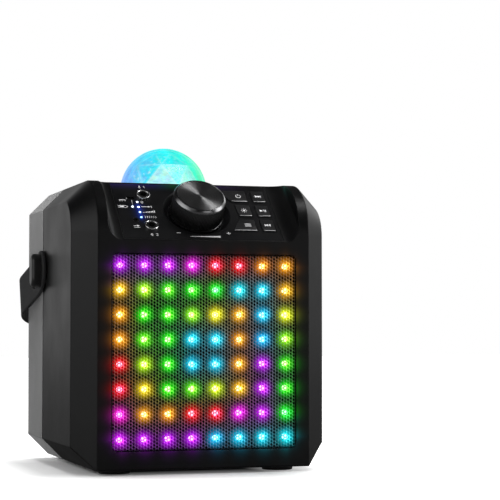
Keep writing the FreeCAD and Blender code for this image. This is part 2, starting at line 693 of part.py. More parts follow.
def speaker_screws():
    screws = []
    for x, y in ring_of(SPEAKER_SCREWS, SPEAKER_SCREW_RING, 45):
        shank = upright(SPEAKER_SCREW_SHANK / 2, x, y, (-BAFFLE_THICKNESS + 2 * SEAT_GAP, SPEAKER_FLANGE))
        head = (SPEAKER_FLANGE, SPEAKER_FLANGE + SPEAKER_SCREW_HEAD_HEIGHT)
        screws.append(fused([shank, upright(SPEAKER_SCREW_HEAD / 2, x, y, head)]))
    return on_speaker(Part.makeCompound(screws))


# Control panel, in panel axes
BUTTONS = {
    "power_button": (0, 1), "light_button": (0, 0), "mode_button": (0, -1),
    "next_button": (1, 1), "play_button": (1, 0), "previous_button": (1, -1),
}
BUTTON_FOOT = -PANEL_THICKNESS - FIT_GAP - BUTTON_FLANGE
SWITCH_TOP = BOARD_TOP + SWITCH_HEIGHT


def button_row(row):
    return KNOB_UP + BUTTON_ROW_SHIFT + row * BUTTON_ROW_PITCH


def button_block(column, row, grow, heights):
    """A button's outline, moved outwards by grow; the inner column follows an arc about the knob."""
    middle = button_row(row)
    up = (middle - BUTTON_HEIGHT / 2 - grow, middle + BUTTON_HEIGHT / 2 + grow)
    if column == 0:
        block = box((BUTTON_INNER_EDGE - grow, BUTTON_COLUMN_EDGE + grow), up, heights)
        block = block.cut(upright(BUTTON_ARC_RADIUS - grow, 0, KNOB_UP, heights))
    else:
        block = box((BUTTON_OUTER_START - grow, BUTTON_OUTER_EDGE + grow), up, heights)
    return block.makeFillet(BUTTON_CORNER, along(block, Vector(0, 0, 1)))


def button_middle(column):
    if column == 0:
        return (BUTTON_ARC_RADIUS + BUTTON_COLUMN_EDGE) / 2
    return (BUTTON_OUTER_START + BUTTON_OUTER_EDGE) / 2


def button(column, row):
    """A key cap with a flange that keeps it under the panel and a stem over its switch."""
    cap = button_block(column, row, 0.0, (BUTTON_FOOT, BUTTON_PROUD))
    flange = button_block(column, row, BUTTON_FLANGE, (BUTTON_FOOT, BUTTON_FOOT + BUTTON_FLANGE))
    stem_end = SWITCH_TOP + BUTTON_TRAVEL + FIT_GAP
    stem = upright(BUTTON_STEM / 2, button_middle(column), button_row(row), (stem_end, BUTTON_FOOT))
    return on_panel(fused([cap, flange, stem]))


def switches():
    pieces = []
    for column, row in BUTTONS.values():
        x, y = button_middle(column), button_row(row)
        base = centred_box(SWITCH_SIZE, SWITCH_SIZE, (BOARD_TOP, SWITCH_TOP - BUTTON_TRAVEL), x, y)
        pieces.append(fused([base, upright(BUTTON_STEM / 2, x, y, (BOARD_TOP, SWITCH_TOP))]))
    return on_panel(Part.makeCompound(pieces))


def mic_places():
    rows = {"mic_socket_1": KNOB_UP + MIC_ROW_OFFSET, "mic_socket_2": KNOB_UP - MIC_ROW_OFFSET}
    return {name: (MIC_COLUMN, row) for name, row in rows.items()}


def light_places():
    row = [(LIGHT_COLUMN, KNOB_UP + LIGHT_FIRST_OFFSET + LIGHT_PITCH * index) for index in range(4)]
    return row + [(SIDE_COLUMN, KNOB_UP + CHARGE_LIGHT_OFFSET)]


def post_places():
    across = POST_RING_RADIUS * math.cos(math.radians(POST_ANGLE))
    up = POST_RING_RADIUS * math.sin(math.radians(POST_ANGLE))
    return [(x, KNOB_UP + y) for x in (-across, across) for y in (-up, up)]


def control_panel():
    """A moulded plate with the knob's dish, posts for the board and an opening for each control."""
    half = PANEL_WIDTH / 2 - SEAT_GAP
    start, end = PANEL_MARGIN + SEAT_GAP, SLOPE_LENGTH - PANEL_MARGIN - SEAT_GAP
    plate = box((-half, half), (start, end), (-PANEL_THICKNESS, 0))
    cup_top, cup_floor = DISH_DIAMETER / 2, DISH_FLOOR_DIAMETER / 2
    centre = Vector(0, KNOB_UP, 0)
    under = DISH_FLOOR - DISH_WALL
    cup = turned([(0, under), (cup_floor + DISH_WALL, under), (cup_top + DISH_WALL, 0), (0, 0)], centre)
    hollow = turned([(0, DISH_FLOOR), (cup_floor, DISH_FLOOR), (cup_top, 0), (0, 0)], centre)
    posts = [upright(POST_RADIUS, x, y, (BOARD_TOP, 0)) for x, y in post_places()]
    panel = fused([plate, cup] + posts).cut(hollow)
    through = (DISH_FLOOR - 2 * DISH_WALL, PANEL_THICKNESS)
    cuts = [upright(BUSHING_DIAMETER / 2 + FIT_GAP, 0, KNOB_UP, through)]
    cuts += [button_block(column, row, SLIDE_GAP, through) for column, row in BUTTONS.values()]
    cuts += [upright(MIC_BARREL / 2 + FIT_GAP, x, y, through) for x, y in mic_places().values()]
    cuts += [upright(LIGHT_DIAMETER / 2 + FIT_GAP, x, y, through) for x, y in light_places()]
    cuts.append(upright(LINE_BARREL / 2 + FIT_GAP, SIDE_COLUMN, KNOB_UP + LINE_OFFSET, through))
    charge_size = (CHARGE_WIDTH + 2 * SEAT_GAP, CHARGE_HEIGHT + 2 * SEAT_GAP)
    cuts.append(centred_box(*charge_size, through, SIDE_COLUMN, KNOB_UP + CHARGE_OFFSET))
    return on_panel(panel.cut(Part.makeCompound(cuts)))


def control_board():
    """The circuit board on the panel's posts, cut out round the two long microphone sockets."""
    half = PANEL_WIDTH / 2 - PANEL_LEDGE - SEAT_GAP
    heights = (BOARD_TOP - BOARD_THICKNESS, BOARD_TOP)
    start = PANEL_MARGIN + BOARD_MARGIN
    board = box((-half, half), (start, SLOPE_LENGTH - start), heights)
    side = MIC_BODY + 2 * SEAT_GAP
    for x, y in mic_places().values():
        board = board.cut(centred_box(side, side, heights, x, y))
    return on_panel(board)


def knob_body():
    """A fluted, hollow knob with a base ring, a bevelled top rim and a boss on the shaft."""
    radius, base = KNOB_DIAMETER / 2, KNOB_BASE_DIAMETER / 2
    ring_top = KNOB_FOOT + KNOB_BASE_HEIGHT
    cap, cap_floor = KNOB_CAP_DIAMETER / 2, KNOB_HEIGHT - KNOB_CAP_SUNK - KNOB_CAP_THICKNESS
    inside, roof = radius - KNOB_WALL - KNOB_FLUTE_DEPTH, cap_floor - KNOB_WALL
    boss = SHAFT_DIAMETER / 2 + KNOB_WALL
    bore = SHAFT_DIAMETER / 2 + FIT_GAP
    centre = Vector(0, KNOB_UP, 0)
    ring_bevel = KNOB_BASE_HEIGHT / 3
    under = [(bore, KNOB_FOOT), (boss, KNOB_FOOT), (boss, roof), (inside, roof), (inside, KNOB_FOOT)]
    ring = [(base, KNOB_FOOT), (base, ring_top - ring_bevel), (base - ring_bevel, ring_top)]
    side = [(radius, ring_top), (radius, KNOB_HEIGHT - KNOB_BEVEL), (radius - KNOB_BEVEL, KNOB_HEIGHT)]
    seat = [(cap, KNOB_HEIGHT), (cap, cap_floor), (bore, cap_floor)]
    body = turned(under + ring + side + seat, centre)
    flute_top = KNOB_HEIGHT - 2 * KNOB_BEVEL
    width = 2 * math.pi * radius / KNOB_FLUTES / 2
    flute_heights = (ring_top + KNOB_FLUTE_DEPTH, flute_top)
    flutes = []
    for index in range(KNOB_FLUTES):
        flute = box((radius - KNOB_FLUTE_DEPTH, base), (-width / 2, width / 2), flute_heights)
        flute.rotate(Vector(0, 0, 0), Vector(0, 0, 1), 360 * index / KNOB_FLUTES)
        flute.translate(centre)
        flutes.append(flute)
    return on_panel(body.cut(Part.makeCompound(flutes)))


def knob_cap():
    top = KNOB_HEIGHT - KNOB_CAP_SUNK
    return on_panel(upright(KNOB_CAP_DIAMETER / 2 - FIT_GAP, 0, KNOB_UP, (top - KNOB_CAP_THICKNESS, top)))


ENCODER_TOP = DISH_FLOOR - DISH_WALL - FIT_GAP
PLUNGER_TOP = BOARD_TOP + KNOB_PRESS + 2 * SLIDE_GAP


def knob_shaft():
    end = KNOB_HEIGHT - KNOB_CAP_SUNK - KNOB_CAP_THICKNESS - SEAT_GAP
    return on_panel(upright(SHAFT_DIAMETER / 2, 0, KNOB_UP, (PLUNGER_TOP + FIT_GAP, end)))


def encoder():
    """The encoder's case with its bushing in the dish, bored for the shaft."""
    case = centred_box(ENCODER_SIZE, ENCODER_SIZE, (BOARD_TOP, ENCODER_TOP), 0, KNOB_UP)
    bushing = upright(BUSHING_DIAMETER / 2, 0, KNOB_UP, (BOARD_TOP, DISH_FLOOR))
    bore = upright(SHAFT_DIAMETER / 2 + FIT_GAP, 0, KNOB_UP, (BOARD_TOP, 0))
    return on_panel(fused([case, bushing]).cut(bore))


def encoder_plunger():
    """The disc under the shaft that closes the encoder's push contact."""
    start = BOARD_TOP + KNOB_PRESS + SLIDE_GAP
    return on_panel(upright(SHAFT_DIAMETER / 2, 0, KNOB_UP, (start, PLUNGER_TOP)))


# Sockets and indicator lights, in panel axes
def mic_socket(x, y):
    body = centred_box(MIC_BODY, MIC_BODY, (-PANEL_THICKNESS - MIC_BODY_LENGTH, -PANEL_THICKNESS), x, y)
    barrel = upright(MIC_BARREL / 2, x, y, (-PANEL_THICKNESS, MIC_BARREL_HEIGHT))
    bore = upright(MIC_BORE / 2, x, y, (MIC_BARREL_HEIGHT - MIC_BORE_DEPTH, MIC_BARREL_HEIGHT))
    return on_panel(fused([body, barrel]).cut(bore))


def mic_nut(x, y):
    ring = upright(MIC_NUT_DIAMETER / 2, x, y, (0, MIC_NUT_HEIGHT))
    ring = ring.makeFillet(MIC_NUT_ROUND, edges_at(ring, "Z", MIC_NUT_HEIGHT))
    return on_panel(ring.cut(upright(MIC_BARREL / 2 + FIT_GAP, x, y, (0, MIC_NUT_HEIGHT))))


def line_socket():
    x, y = SIDE_COLUMN, KNOB_UP + LINE_OFFSET
    body = centred_box(LINE_BODY, LINE_BODY, (BOARD_TOP, -PANEL_THICKNESS), x, y)
    barrel = upright(LINE_BARREL / 2, x, y, (-PANEL_THICKNESS, LIGHT_PROUD))
    bore = upright(LINE_BORE / 2, x, y, (LIGHT_PROUD - LINE_BORE_DEPTH, LIGHT_PROUD))
    return on_panel(fused([body, barrel]).cut(bore))


def charge_socket():
    x, y = SIDE_COLUMN, KNOB_UP + CHARGE_OFFSET
    heights = (BOARD_TOP, -SEAT_GAP)
    floor = BOARD_TOP + PANEL_THICKNESS
    can = centred_box(CHARGE_WIDTH, CHARGE_HEIGHT, heights, x, y)
    can = can.makeFillet(CHARGE_HEIGHT / 4, along(can, Vector(0, 0, 1)))
    inside = (CHARGE_WIDTH - 2 * CHARGE_SHEET, CHARGE_HEIGHT - 2 * CHARGE_SHEET)
    can = can.cut(centred_box(*inside, (floor, 0), x, y))
    tongue = centred_box(CHARGE_WIDTH / 2, CHARGE_TONGUE, (floor - CHARGE_SHEET, -PANEL_THICKNESS), x, y)
    return on_panel(fused([can, tongue]))


def indicator_lights():
    pipes = [upright(LIGHT_DIAMETER / 2, x, y, (BOARD_TOP, LIGHT_PROUD)) for x, y in light_places()]
    return on_panel(Part.makeCompound(pipes))


# Light dome
def on_dome(shape):
    shape.Placement = Placement(DOME_CENTRE, Rotation()).multiply(shape.Placement)
    return shape


def dome_cover():
    """A clear hemisphere on a flat flange."""
    shell = Part.makeSphere(DOME_RADIUS).cut(Part.makeSphere(DOME_RADIUS - DOME_WALL))
    upper = upright(2 * DOME_RADIUS, 0, 0, (0, 2 * DOME_RADIUS))
    inner = DOME_RADIUS - DOME_WALL / 2
    outer = DOME_RADIUS + DOME_FLANGE
    flange = turned([(inner, 0), (outer, 0), (outer, DOME_FLANGE_THICKNESS), (inner, DOME_FLANGE_THICKNESS)])
    bowl = shell.common(upper)
    hollow = Part.makeSphere(DOME_RADIUS - DOME_WALL)
    return on_dome(fused([bowl, flange]).cut(hollow))


def dome_collar():
    """The ring that clamps the dome's flange to the top of the cabinet."""
    inner, outer = DOME_RADIUS + SEAT_GAP, DOME_RADIUS + COLLAR_WIDTH
    step, step_height = DOME_RADIUS + DOME_FLANGE + SEAT_GAP, DOME_FLANGE_THICKNESS + FIT_GAP
    bevel = COLLAR_HEIGHT / 3
    outside = [(step, 0), (outer, 0), (outer, COLLAR_HEIGHT - bevel), (outer - bevel, COLLAR_HEIGHT)]
    inside = [(inner, COLLAR_HEIGHT), (inner, step_height), (step, step_height)]
    return on_dome(turned(outside + inside))


def dome_tray():
    """A cup under the cabinet's top that carries the lamp board and the motor."""
    top, floor = TRAY_TOP - TOP, TRAY_FLOOR - TOP
    inner, outer, flange = DOME_HOLE, DOME_HOLE + WALL, DOME_HOLE + TRAY_FLANGE
    hole = ROTOR_SHAFT / 2 + 2 * SLIDE_GAP
    return on_dome(turned([
        (hole, floor), (inner, floor), (inner, top), (flange, top), (flange, top - WALL), (outer, top - WALL),
        (outer, floor - WALL), (hole, floor - WALL),
    ]))


DOME_BOARD_FLOOR = TRAY_FLOOR - TOP
DOME_BOARD_TOP = DOME_BOARD_FLOOR + LAMP_BOARD_THICKNESS


def dome_board():
    """A round lamp board with its lamps."""
    disc = upright(DOME_BOARD_DIAMETER / 2, 0, 0, (DOME_BOARD_FLOOR, DOME_BOARD_TOP))
    heights = (DOME_BOARD_TOP, DOME_BOARD_TOP + DOME_LAMP_HEIGHT)
    places = ring_of(DOME_LAMPS, DOME_LAMP_RING)
    pieces = [disc] + [centred_box(LAMP_SIZE, LAMP_SIZE, heights, x, y) for x, y in places]
    hole = upright(ROTOR_SHAFT / 2 + 2 * SLIDE_GAP, 0, 0, (DOME_BOARD_FLOOR, DOME_BOARD_TOP))
    return on_dome(fused(pieces).cut(hole))


LENS_FOOT = DOME_FLANGE_THICKNESS
HUB_FOOT = DOME_BOARD_TOP + 2 * DOME_LAMP_HEIGHT
SHAFT_FOOT = TRAY_FLOOR - TOP - WALL - MOTOR_HEIGHT / 2


def lens():
    """A cut-glass half ball: triangles between a base ring, a belt, a crown ring and the top point."""
    def ring(angle, turn):
        radius = LENS_RADIUS * math.cos(math.radians(angle))
        height = LENS_FOOT + (LENS_RADIUS - LENS_FOOT) * math.sin(math.radians(angle))
        return [Vector(x, y, height) for x, y in ring_of(LENS_SIDES, radius, turn)]

    half_step = 180 / LENS_SIDES
    rings = [ring(0, 0), ring(LENS_BELT_ANGLE, half_step), ring(LENS_CROWN_ANGLE, 0)]
    top = Vector(0, 0, LENS_RADIUS)
    triangles = []
    for index in range(LENS_SIDES):
        after = (index + 1) % LENS_SIDES
        before = (index - 1) % LENS_SIDES
        base, belt, crown = rings
        triangles.append((base[index], base[after], belt[index]))
        triangles.append((base[index], belt[index], belt[before]))
        triangles.append((belt[before], belt[index], crown[index]))
        triangles.append((belt[index], crown[after], crown[index]))
        triangles.append((crown[index], crown[after], top))
    faces = [Part.Face(Part.makePolygon([a, b, c, a])) for a, b, c in triangles]
    faces.append(Part.Face(Part.makePolygon(rings[0] + rings[0][:1])))
    gem = Part.Solid(Part.Shell(faces))
    hub = upright(LENS_HUB_RADIUS, 0, 0, (HUB_FOOT, LENS_FOOT))
    bore = upright(ROTOR_SHAFT / 2 + FIT_GAP, 0, 0, (HUB_FOOT, LENS_FOOT))
    return on_dome(fused([gem, hub]).cut(bore))


def rotor_shaft():
    return on_dome(upright(ROTOR_SHAFT / 2, 0, 0, (SHAFT_FOOT, LENS_FOOT - FIT_GAP)))


def dome_motor():
    top = TRAY_FLOOR - TOP - WALL
    can = upright(MOTOR_DIAMETER / 2, 0, 0, (top - MOTOR_HEIGHT, top))
    return on_dome(can.cut(upright(ROTOR_SHAFT / 2 + FIT_GAP, 0, 0, (SHAFT_FOOT - SLIDE_GAP, top))))


# Strap and lugs
def stadium(length, width, x_range):
    """A flat bar with round ends, long along Z, thick along X."""
    half = (length - width) / 2
    bar = box(x_range, (-width / 2, width / 2), (-half, half))
    ends = [rod(width / 2, Vector(x_range[0], 0, z), Vector(x_range[1], 0, z)) for z in (-half, half)]
    return fused([bar] + ends)


def lug(side):
    """A button with a flange inside the wall, a round neck that the strap turns on and an oblong cap."""
    inner = HALF_WIDTH - WALL
    outer = LUG_CAP_X + LUG_CAP_THICKNESS
    flange = rod(LUG_FLANGE / 2, Vector(inner - LUG_FLANGE_THICKNESS, 0, 0), Vector(inner, 0, 0))
    neck = rod(LUG_NECK / 2, Vector(inner - LUG_FLANGE_THICKNESS, 0, 0), Vector(outer - LUG_CAP_ROUND, 0, 0))
    cap = stadium(LUG_CAP_LENGTH, LUG_NECK, (LUG_CAP_X, outer))
    cap = cap.makeFillet(LUG_CAP_ROUND, edges_at(cap, "X", outer))
    solid = fused([flange, neck, cap])
    if side < 0:
        solid = solid.mirror(Vector(0, 0, 0), Vector(1, 0, 0))
    solid.translate(Vector(0, SEAM, LUG_CENTRE_Z))
    return solid


def strap_path():
    """Half of the strap's middle line from its end to the middle of its back, as (x, reach) points on arcs.

    The arm runs straight past the lug, bends outwards by the splay angle, then turns in one arc to the back.
    """
    splay = math.radians(STRAP_SPLAY)
    end = -STRAP_WIDTH / 2
    x0, p0 = STRAP_MIDDLE_X, STRAP_STRAIGHT

    def first_bend(part):
        turn = splay * part
        return x0 + STRAP_BEND * (1 - math.cos(turn)), p0 + STRAP_BEND * math.sin(turn)

    x1, p1 = first_bend(1.0)
    p2 = STRAP_ARM
    x2 = x1 + (p2 - p1) * math.tan(splay)
    radius = (STRAP_REACH - p2) / (1 + math.sin(splay))
    centre_x, centre_p = x2 - radius * math.cos(splay), p2 + radius * math.sin(splay)

    def corner(part):
        turn = -splay + (math.pi / 2 + splay) * part
        return centre_x + radius * math.cos(turn), centre_p + radius * math.sin(turn)

    arm = [(x0, end), (x0, p0)]
    bend = [(x0, p0), first_bend(0.5), (x1, p1)]
    splayed = [(x1, p1), (x2, p2)]
    return [arm, bend, splayed, [(x2, p2), corner(0.5), corner(1.0)]]


def strap():
    """A band of even thickness along the path, square to it, with round slotted ends."""
    path = strap_path()

    def edges(side):
        def point(pair):
            return Vector(side * pair[0], pair[1], 0)
        shapes = []
        for stretch in path:
            points = [point(pair) for pair in stretch]
            curve = Part.Arc(*points) if len(points) == 3 else Part.LineSegment(*points)
            shapes.append(curve.toShape())
        return shapes

    corner_x, reach = path[-1][-1]
    back = Part.LineSegment(Vector(-corner_x, reach, 0), Vector(corner_x, reach, 0)).toShape()
    middle = Part.Wire(Part.__sortEdges__(edges(-1) + [back] + edges(1)))
    half = STRAP_THICKNESS / 2
    outer_line = middle.makeOffset2D(half, openResult=True)
    inner_line = middle.makeOffset2D(-half, openResult=True)
    ends = []
    for side in (-1, 1):
        x, p = side * STRAP_MIDDLE_X, -STRAP_WIDTH / 2
        ends.append(Part.LineSegment(Vector(x - half, p, 0), Vector(x + half, p, 0)).toShape())
    outline = Part.Wire(Part.__sortEdges__(outer_line.Edges + inner_line.Edges + ends))
    band = Part.Face(outline).extrude(Vector(0, 0, STRAP_WIDTH))
    band.translate(Vector(0, 0, -STRAP_WIDTH / 2))
    span = 2 * STRAP_REACH
    round_end = rod(STRAP_WIDTH / 2, Vector(-span, 0, 0), Vector(span, 0, 0))
    keep = round_end.fuse(box((-span, span), (0, span), (-STRAP_WIDTH, STRAP_WIDTH)))
    band = band.common(keep)
    slot = STRAP_SLOT / 2
    holes = [box((-span, span), (0, STRAP_SLOT_TRAVEL), (-slot, slot))]
    holes += [rod(slot, Vector(-span, p, 0), Vector(span, p, 0)) for p in (0, STRAP_SLOT_TRAVEL)]
    band = band.cut(fused(holes))
    band.Placement = Placement(Vector(0, SEAM, LUG_CENTRE_Z), Rotation(Vector(1, 0, 0), -STRAP_DROOP))
    return band


# Power supply and amplifier
def battery_pack():
    length, depth, height = BATTERY_SIZE
    middle = (SEAM + REAR) / 2
    block = centred_box(length, depth, (FLOOR + WALL, FLOOR + WALL + height), 0, middle)
    return block.makeFillet(BATTERY_ROUND, along(block, Vector(1, 0, 0)))


def amplifier_posts():
    half_x, half_z = AMPLIFIER_SIZE[0] / 2 - 2 * AMPLIFIER_POST, AMPLIFIER_SIZE[1] / 2 - 2 * AMPLIFIER_POST
    return [(x, FLOOR + AMPLIFIER_HEIGHT + z) for x in (-half_x, half_x) for z in (-half_z, half_z)]


def amplifier_board():
    """A circuit board on four posts, with a finned heat sink."""
    half_x, half_z, middle = AMPLIFIER_SIZE[0] / 2, AMPLIFIER_SIZE[1] / 2, FLOOR + AMPLIFIER_HEIGHT
    back = REAR - WALL - AMPLIFIER_STANDOFF
    front = back - BOARD_THICKNESS
    board = box((-half_x, half_x), (front, back), (middle - half_z, middle + half_z))
    length, depth, height = HEAT_SINK_SIZE
    fin = length / (2 * HEAT_SINK_FINS - 1)
    pieces = [board, box((-length / 2, length / 2), (front - fin, front), (middle, middle + height))]
    for index in range(HEAT_SINK_FINS):
        start = -length / 2 + 2 * index * fin
        pieces.append(box((start, start + fin), (front - depth, front), (middle, middle + height)))
    return fused(pieces)


def build():
    parts = {}
    parts["front_shell"], parts["rear_shell"] = shell_halves()
    parts["case_screws"] = case_screws()
    parts.update({name: foot(x, y) for name, (x, y) in foot_places().items()})
    parts["foot_screws"] = foot_screws()
    parts["grille"] = grille()
    parts["lamp_frame"] = lamp_frame()
    parts["lamp_board"] = lamp_board()
    parts["lamps"] = lamps()
    parts["speaker_baffle"] = speaker_baffle()
    parts["speaker_basket"] = speaker_basket()
    parts["speaker_surround"] = speaker_surround()
    parts["speaker_cone"] = speaker_cone()
    parts["speaker_dust_cap"] = dust_cap()
    parts["speaker_magnet"] = speaker_magnet()
    parts["speaker_screws"] = speaker_screws()
    parts["control_panel"] = control_panel()
    parts["control_board"] = control_board()
    parts["switches"] = switches()
    parts.update({name: button(column, row) for name, (column, row) in BUTTONS.items()})
    parts["volume_knob"] = knob_body()
    parts["knob_cap"] = knob_cap()
    parts["knob_shaft"] = knob_shaft()
    parts["encoder"] = encoder()
    parts["encoder_plunger"] = encoder_plunger()
    parts.update({name: mic_socket(x, y) for name, (x, y) in mic_places().items()})
    parts.update({name.replace("socket", "nut"): mic_nut(x, y) for name, (x, y) in mic_places().items()})
    parts["line_socket"] = line_socket()
    parts["charge_socket"] = charge_socket()
    parts["indicator_lights"] = indicator_lights()
    parts["dome_cover"] = dome_cover()
    parts["dome_collar"] = dome_collar()
    parts["dome_tray"] = dome_tray()
    parts["dome_board"] = dome_board()
    parts["dome_motor"] = dome_motor()
    parts["lens"] = lens()
    parts["rotor_shaft"] = rotor_shaft()
    parts["strap_lug_left"], parts["strap_lug_right"] = lug(-1), lug(1)
    parts["carry_strap"] = strap()
    parts["battery_pack"] = battery_pack()
    parts["amplifier_board"] = amplifier_board()
    return parts


os.makedirs("parts", exist_ok=True)
for node, shape in build().items():
    shape.exportStep(f"parts/{node}.step")
    print(node, len(shape.Solids), shape.isValid(), round(shape.Volume))
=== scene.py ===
import json
import math
from functools import partialmethod

import bmesh
import bpy
import numpy as np
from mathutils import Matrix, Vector


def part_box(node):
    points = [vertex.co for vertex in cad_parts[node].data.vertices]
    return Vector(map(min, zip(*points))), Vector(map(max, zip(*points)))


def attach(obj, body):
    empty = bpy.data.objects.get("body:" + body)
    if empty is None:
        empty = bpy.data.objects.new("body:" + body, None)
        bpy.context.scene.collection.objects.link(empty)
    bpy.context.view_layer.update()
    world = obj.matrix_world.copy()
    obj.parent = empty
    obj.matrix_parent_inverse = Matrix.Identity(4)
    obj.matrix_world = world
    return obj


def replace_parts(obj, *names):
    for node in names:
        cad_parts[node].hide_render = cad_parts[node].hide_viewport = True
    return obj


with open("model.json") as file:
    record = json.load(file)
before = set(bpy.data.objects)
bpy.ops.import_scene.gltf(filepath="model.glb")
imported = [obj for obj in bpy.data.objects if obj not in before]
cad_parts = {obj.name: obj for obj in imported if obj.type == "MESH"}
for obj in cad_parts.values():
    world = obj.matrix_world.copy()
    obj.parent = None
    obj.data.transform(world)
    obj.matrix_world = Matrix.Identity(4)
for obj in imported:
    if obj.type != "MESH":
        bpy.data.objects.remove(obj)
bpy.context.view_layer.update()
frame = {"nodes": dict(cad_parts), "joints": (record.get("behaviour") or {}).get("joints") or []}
NODES = frame["nodes"]
JOINTS = {joint["name"]: joint for joint in frame["joints"]}

# Sizes in millimetres and degrees, apart from places read from the frame, which are in metres
MM = 0.001
CREASE = 35.0
BLACK = (0.0, 0.0, 0.0)
WHITE = (1.0, 1.0, 1.0)
# A sine in large steps, spread over many whole numbers, looks random
SCATTER_STEP = 12.9898
SCATTER_SPREAD = 43758.5453

# Camera at the photograph's place
CAMERA_PLACE = (-417.3, -1575.6, 127.1)
CAMERA_TARGET = (60.5, -76.7, 201.3)
CAMERA_LENS = 121.46
CAMERA_SENSOR = 36.0

# Cabinet: rounded edges, moulded grain, painted shade in the parting line's groove and a painted highlight
# behind it
FRONT_LOW, FRONT_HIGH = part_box("front_shell")
FRONT_FACE = FRONT_LOW.y
SEAM = FRONT_HIGH.y
EDGE_ROUND = 0.9
WEAR_SIZE = 38.0
GRAIN_DEPTH = 0.05
SEAM_SHADE_FADE = (0.9 * MM, 1.4 * MM)
SEAM_HIGHLIGHT_PLACE = 2.2 * MM
SEAM_HIGHLIGHT_FADE = (0.4 * MM, 1.2 * MM)
SEAM_HIGHLIGHT_SHARE = 0.05

# Perforated grille
GRILLE_LOW, GRILLE_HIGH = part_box("grille")
GRILLE_LAP = 3.8
OPEN_X = (GRILLE_LOW.x + GRILLE_LAP * MM, GRILLE_HIGH.x - GRILLE_LAP * MM)
OPEN_Z = (GRILLE_LOW.z + GRILLE_LAP * MM, GRILLE_HIGH.z - GRILLE_LAP * MM)
HOLE_OVERLAP = 2.6
HOLE_PITCH = 3.05
HOLE_WEB = 0.78
# Painted light on each kind of strand, highlight on one slant and shade on the others, and the reach of the
# painted shade under the opening's edge
STRAND_PAINTED_LIGHT = (0.5, 0.8, 1.6, 0.9, 0.9)
EDGE_SHADE = (0.6 * MM, 2.6 * MM)
SHEET_THICKNESS = 0.9

# Lamps behind the grille: colours along the rainbow, painted halos and cores, and painted light spilt on the
# front
LAMPS_LOW, LAMPS_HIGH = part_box("lamps")
LAMP_COUNT = 8
LAMP_SIZE = 5.0
RAINBOW_PLACES = (0.0, 0.11, 0.16, 0.2, 0.29, 0.32, 0.38, 0.43, 0.54, 0.6, 0.7, 0.74, 0.93, 0.95, 1.0)
RAINBOW_HUES = (0.79, 0.8, 0.84, 0.985, 1.0, 1.095, 1.1, 1.12, 1.26, 1.32, 1.34, 1.51, 1.55, 1.79, 1.79)
LAMP_DEPTH = 2.1
CORE_DEPTH = 0.4
RING_START = (0.0, 0.52, 0.51, 0.8)
RING_STEP = (0.053, 0.058, 0.0, 0.01)
RING_SWING = (0.0, 0.0, 0.13, 0.0)
SWING_PHASE = 10.3
GLOW_STRENGTH = 1.1
GLOW_REACH = 5.1
GLOW_TAIL = 6.0
TAIL_SHARE = 0.5
CORE_REACH = 3.1
CORE_TINT = 1.1
CORE_WHITE = 0.16
GLOW_SPARKLE = 0.45
LAMP_BRIGHT = (0.5, 0.55)
# Bowls round the lamps, whose glow is painted light
CUP_RADIUS = 10.9
CUP_GAP = 0.1
CUP_FOOT = 0.2
CUP_WALL = 0.2
CUP_DEPTH = 3.2
CUP_GLOW = 0.8
SPILL_FADE = 3.2
SPILL_DIP = 0.2
SPILL_STRENGTH = 0.14
SPILL_BEHIND = 0.4 * MM

# Control panel, measured from the knob's centre along the panel's axes
KNOB_CENTRE = np.array(JOINTS["knob_turn"]["pos_m"])
ACROSS = np.array([1.0, 0.0, 0.0])
OUTWARD = np.array(JOINTS["knob_turn"]["axis"])
UPHILL = np.cross(OUTWARD, ACROSS)
PANEL_AXES = np.stack([ACROSS, UPHILL, OUTWARD])
# Light on the panel: the light pipes, the painted blue glow beside them, and the dome's painted light on the
# top edge
PIPE_HALF = 1.0
PIPE_SPAN = (-12.0, 14.0)
BLUE_TOP = 8.0
BLUE_FADE = 0.55
BLUE_SHARE = 0.35
DOME_LIGHT_SPAN = (-62.0, 55.0)
DOME_LIGHT_RISE = (28.0, 39.0)
DOME_LIGHT_SHARE = 0.12
# Printed signs: the ink's height, and the widths of arrows and triangles from foot to tip
INK_HEIGHT = 0.06
ARROW = (2.2, 0.05)
TRIANGLE = (3.4, 0.05)
# Plain bars of the printed signs: width, start and end
PANEL_BARS = (
    (0.5, -50.5, 5.8, -44.0, 5.8), (0.5, -41.2, 4.3, -41.2, 7.3), (0.7, -63.3, 4.9, -63.3, 6.2),
    (1.6, -70.6, 5.55, -66.4, 5.55), (0.5, -69.6, 15.4, -63.4, 15.4), (0.5, -69.6, 13.8, -68.1, 13.8),
    (0.5, -67.25, 13.8, -65.75, 13.8), (0.5, -64.9, 13.8, -63.4, 13.8), (0.25, -62.4, 16.2, -61.4, 18.4),
    (0.25, -57.9, 15.2, -57.9, 8.0), (0.5, -62.4, -21.4, -58.6, -21.4), (0.45, -62.4, -23.6, -56.6, -23.6),
    (0.6, -24.6, -30.1, -20.8, -30.1), (0.6, 22.0, -29.7, 25.8, -29.7), (0.6, 23.9, -31.6, 23.9, -27.8),
)

# Knob
KNOB_FLUTES = 110
FLUTE_DEPTH = 0.4
KNOB_SIDE = 24.1
KNOB_RING_HEIGHT = 2.3
KNOB_BEVEL = 3.4
KNOB_FACE_RADIUS = 20.75
KNOB_FACE_SUNK = 0.5
KNOB_FACE_DISH = 0.12

# Keys
KEYS = ("power_button", "light_button", "mode_button", "next_button", "play_button", "previous_button")
KEY_FLANGE = 1.2
KEY_CORNER = 0.9
KEY_EDGE = 0.55
KEY_ARC = 39.4
KEY_PROUD = 1.0
KEY_COLUMN_EDGE = 53.0
KEY_DEPTH = 2.4
KEY_LEAST_CORNER = 0.3
KEY_SIGN_SHARE = 0.94
# Painted highlight on each key: height above the foot, insets from left and right, widths there; then a
# painted glint's insets from the right and width
KEY_HIGHLIGHT_UP = 0.75
KEY_HIGHLIGHT_INSET = (0.9, 0.8)
KEY_HIGHLIGHT_WIDTHS = (0.2, 0.42)
KEY_GLINT_INSET = (1.6, 0.7)
KEY_GLINT_WIDTH = 0.95

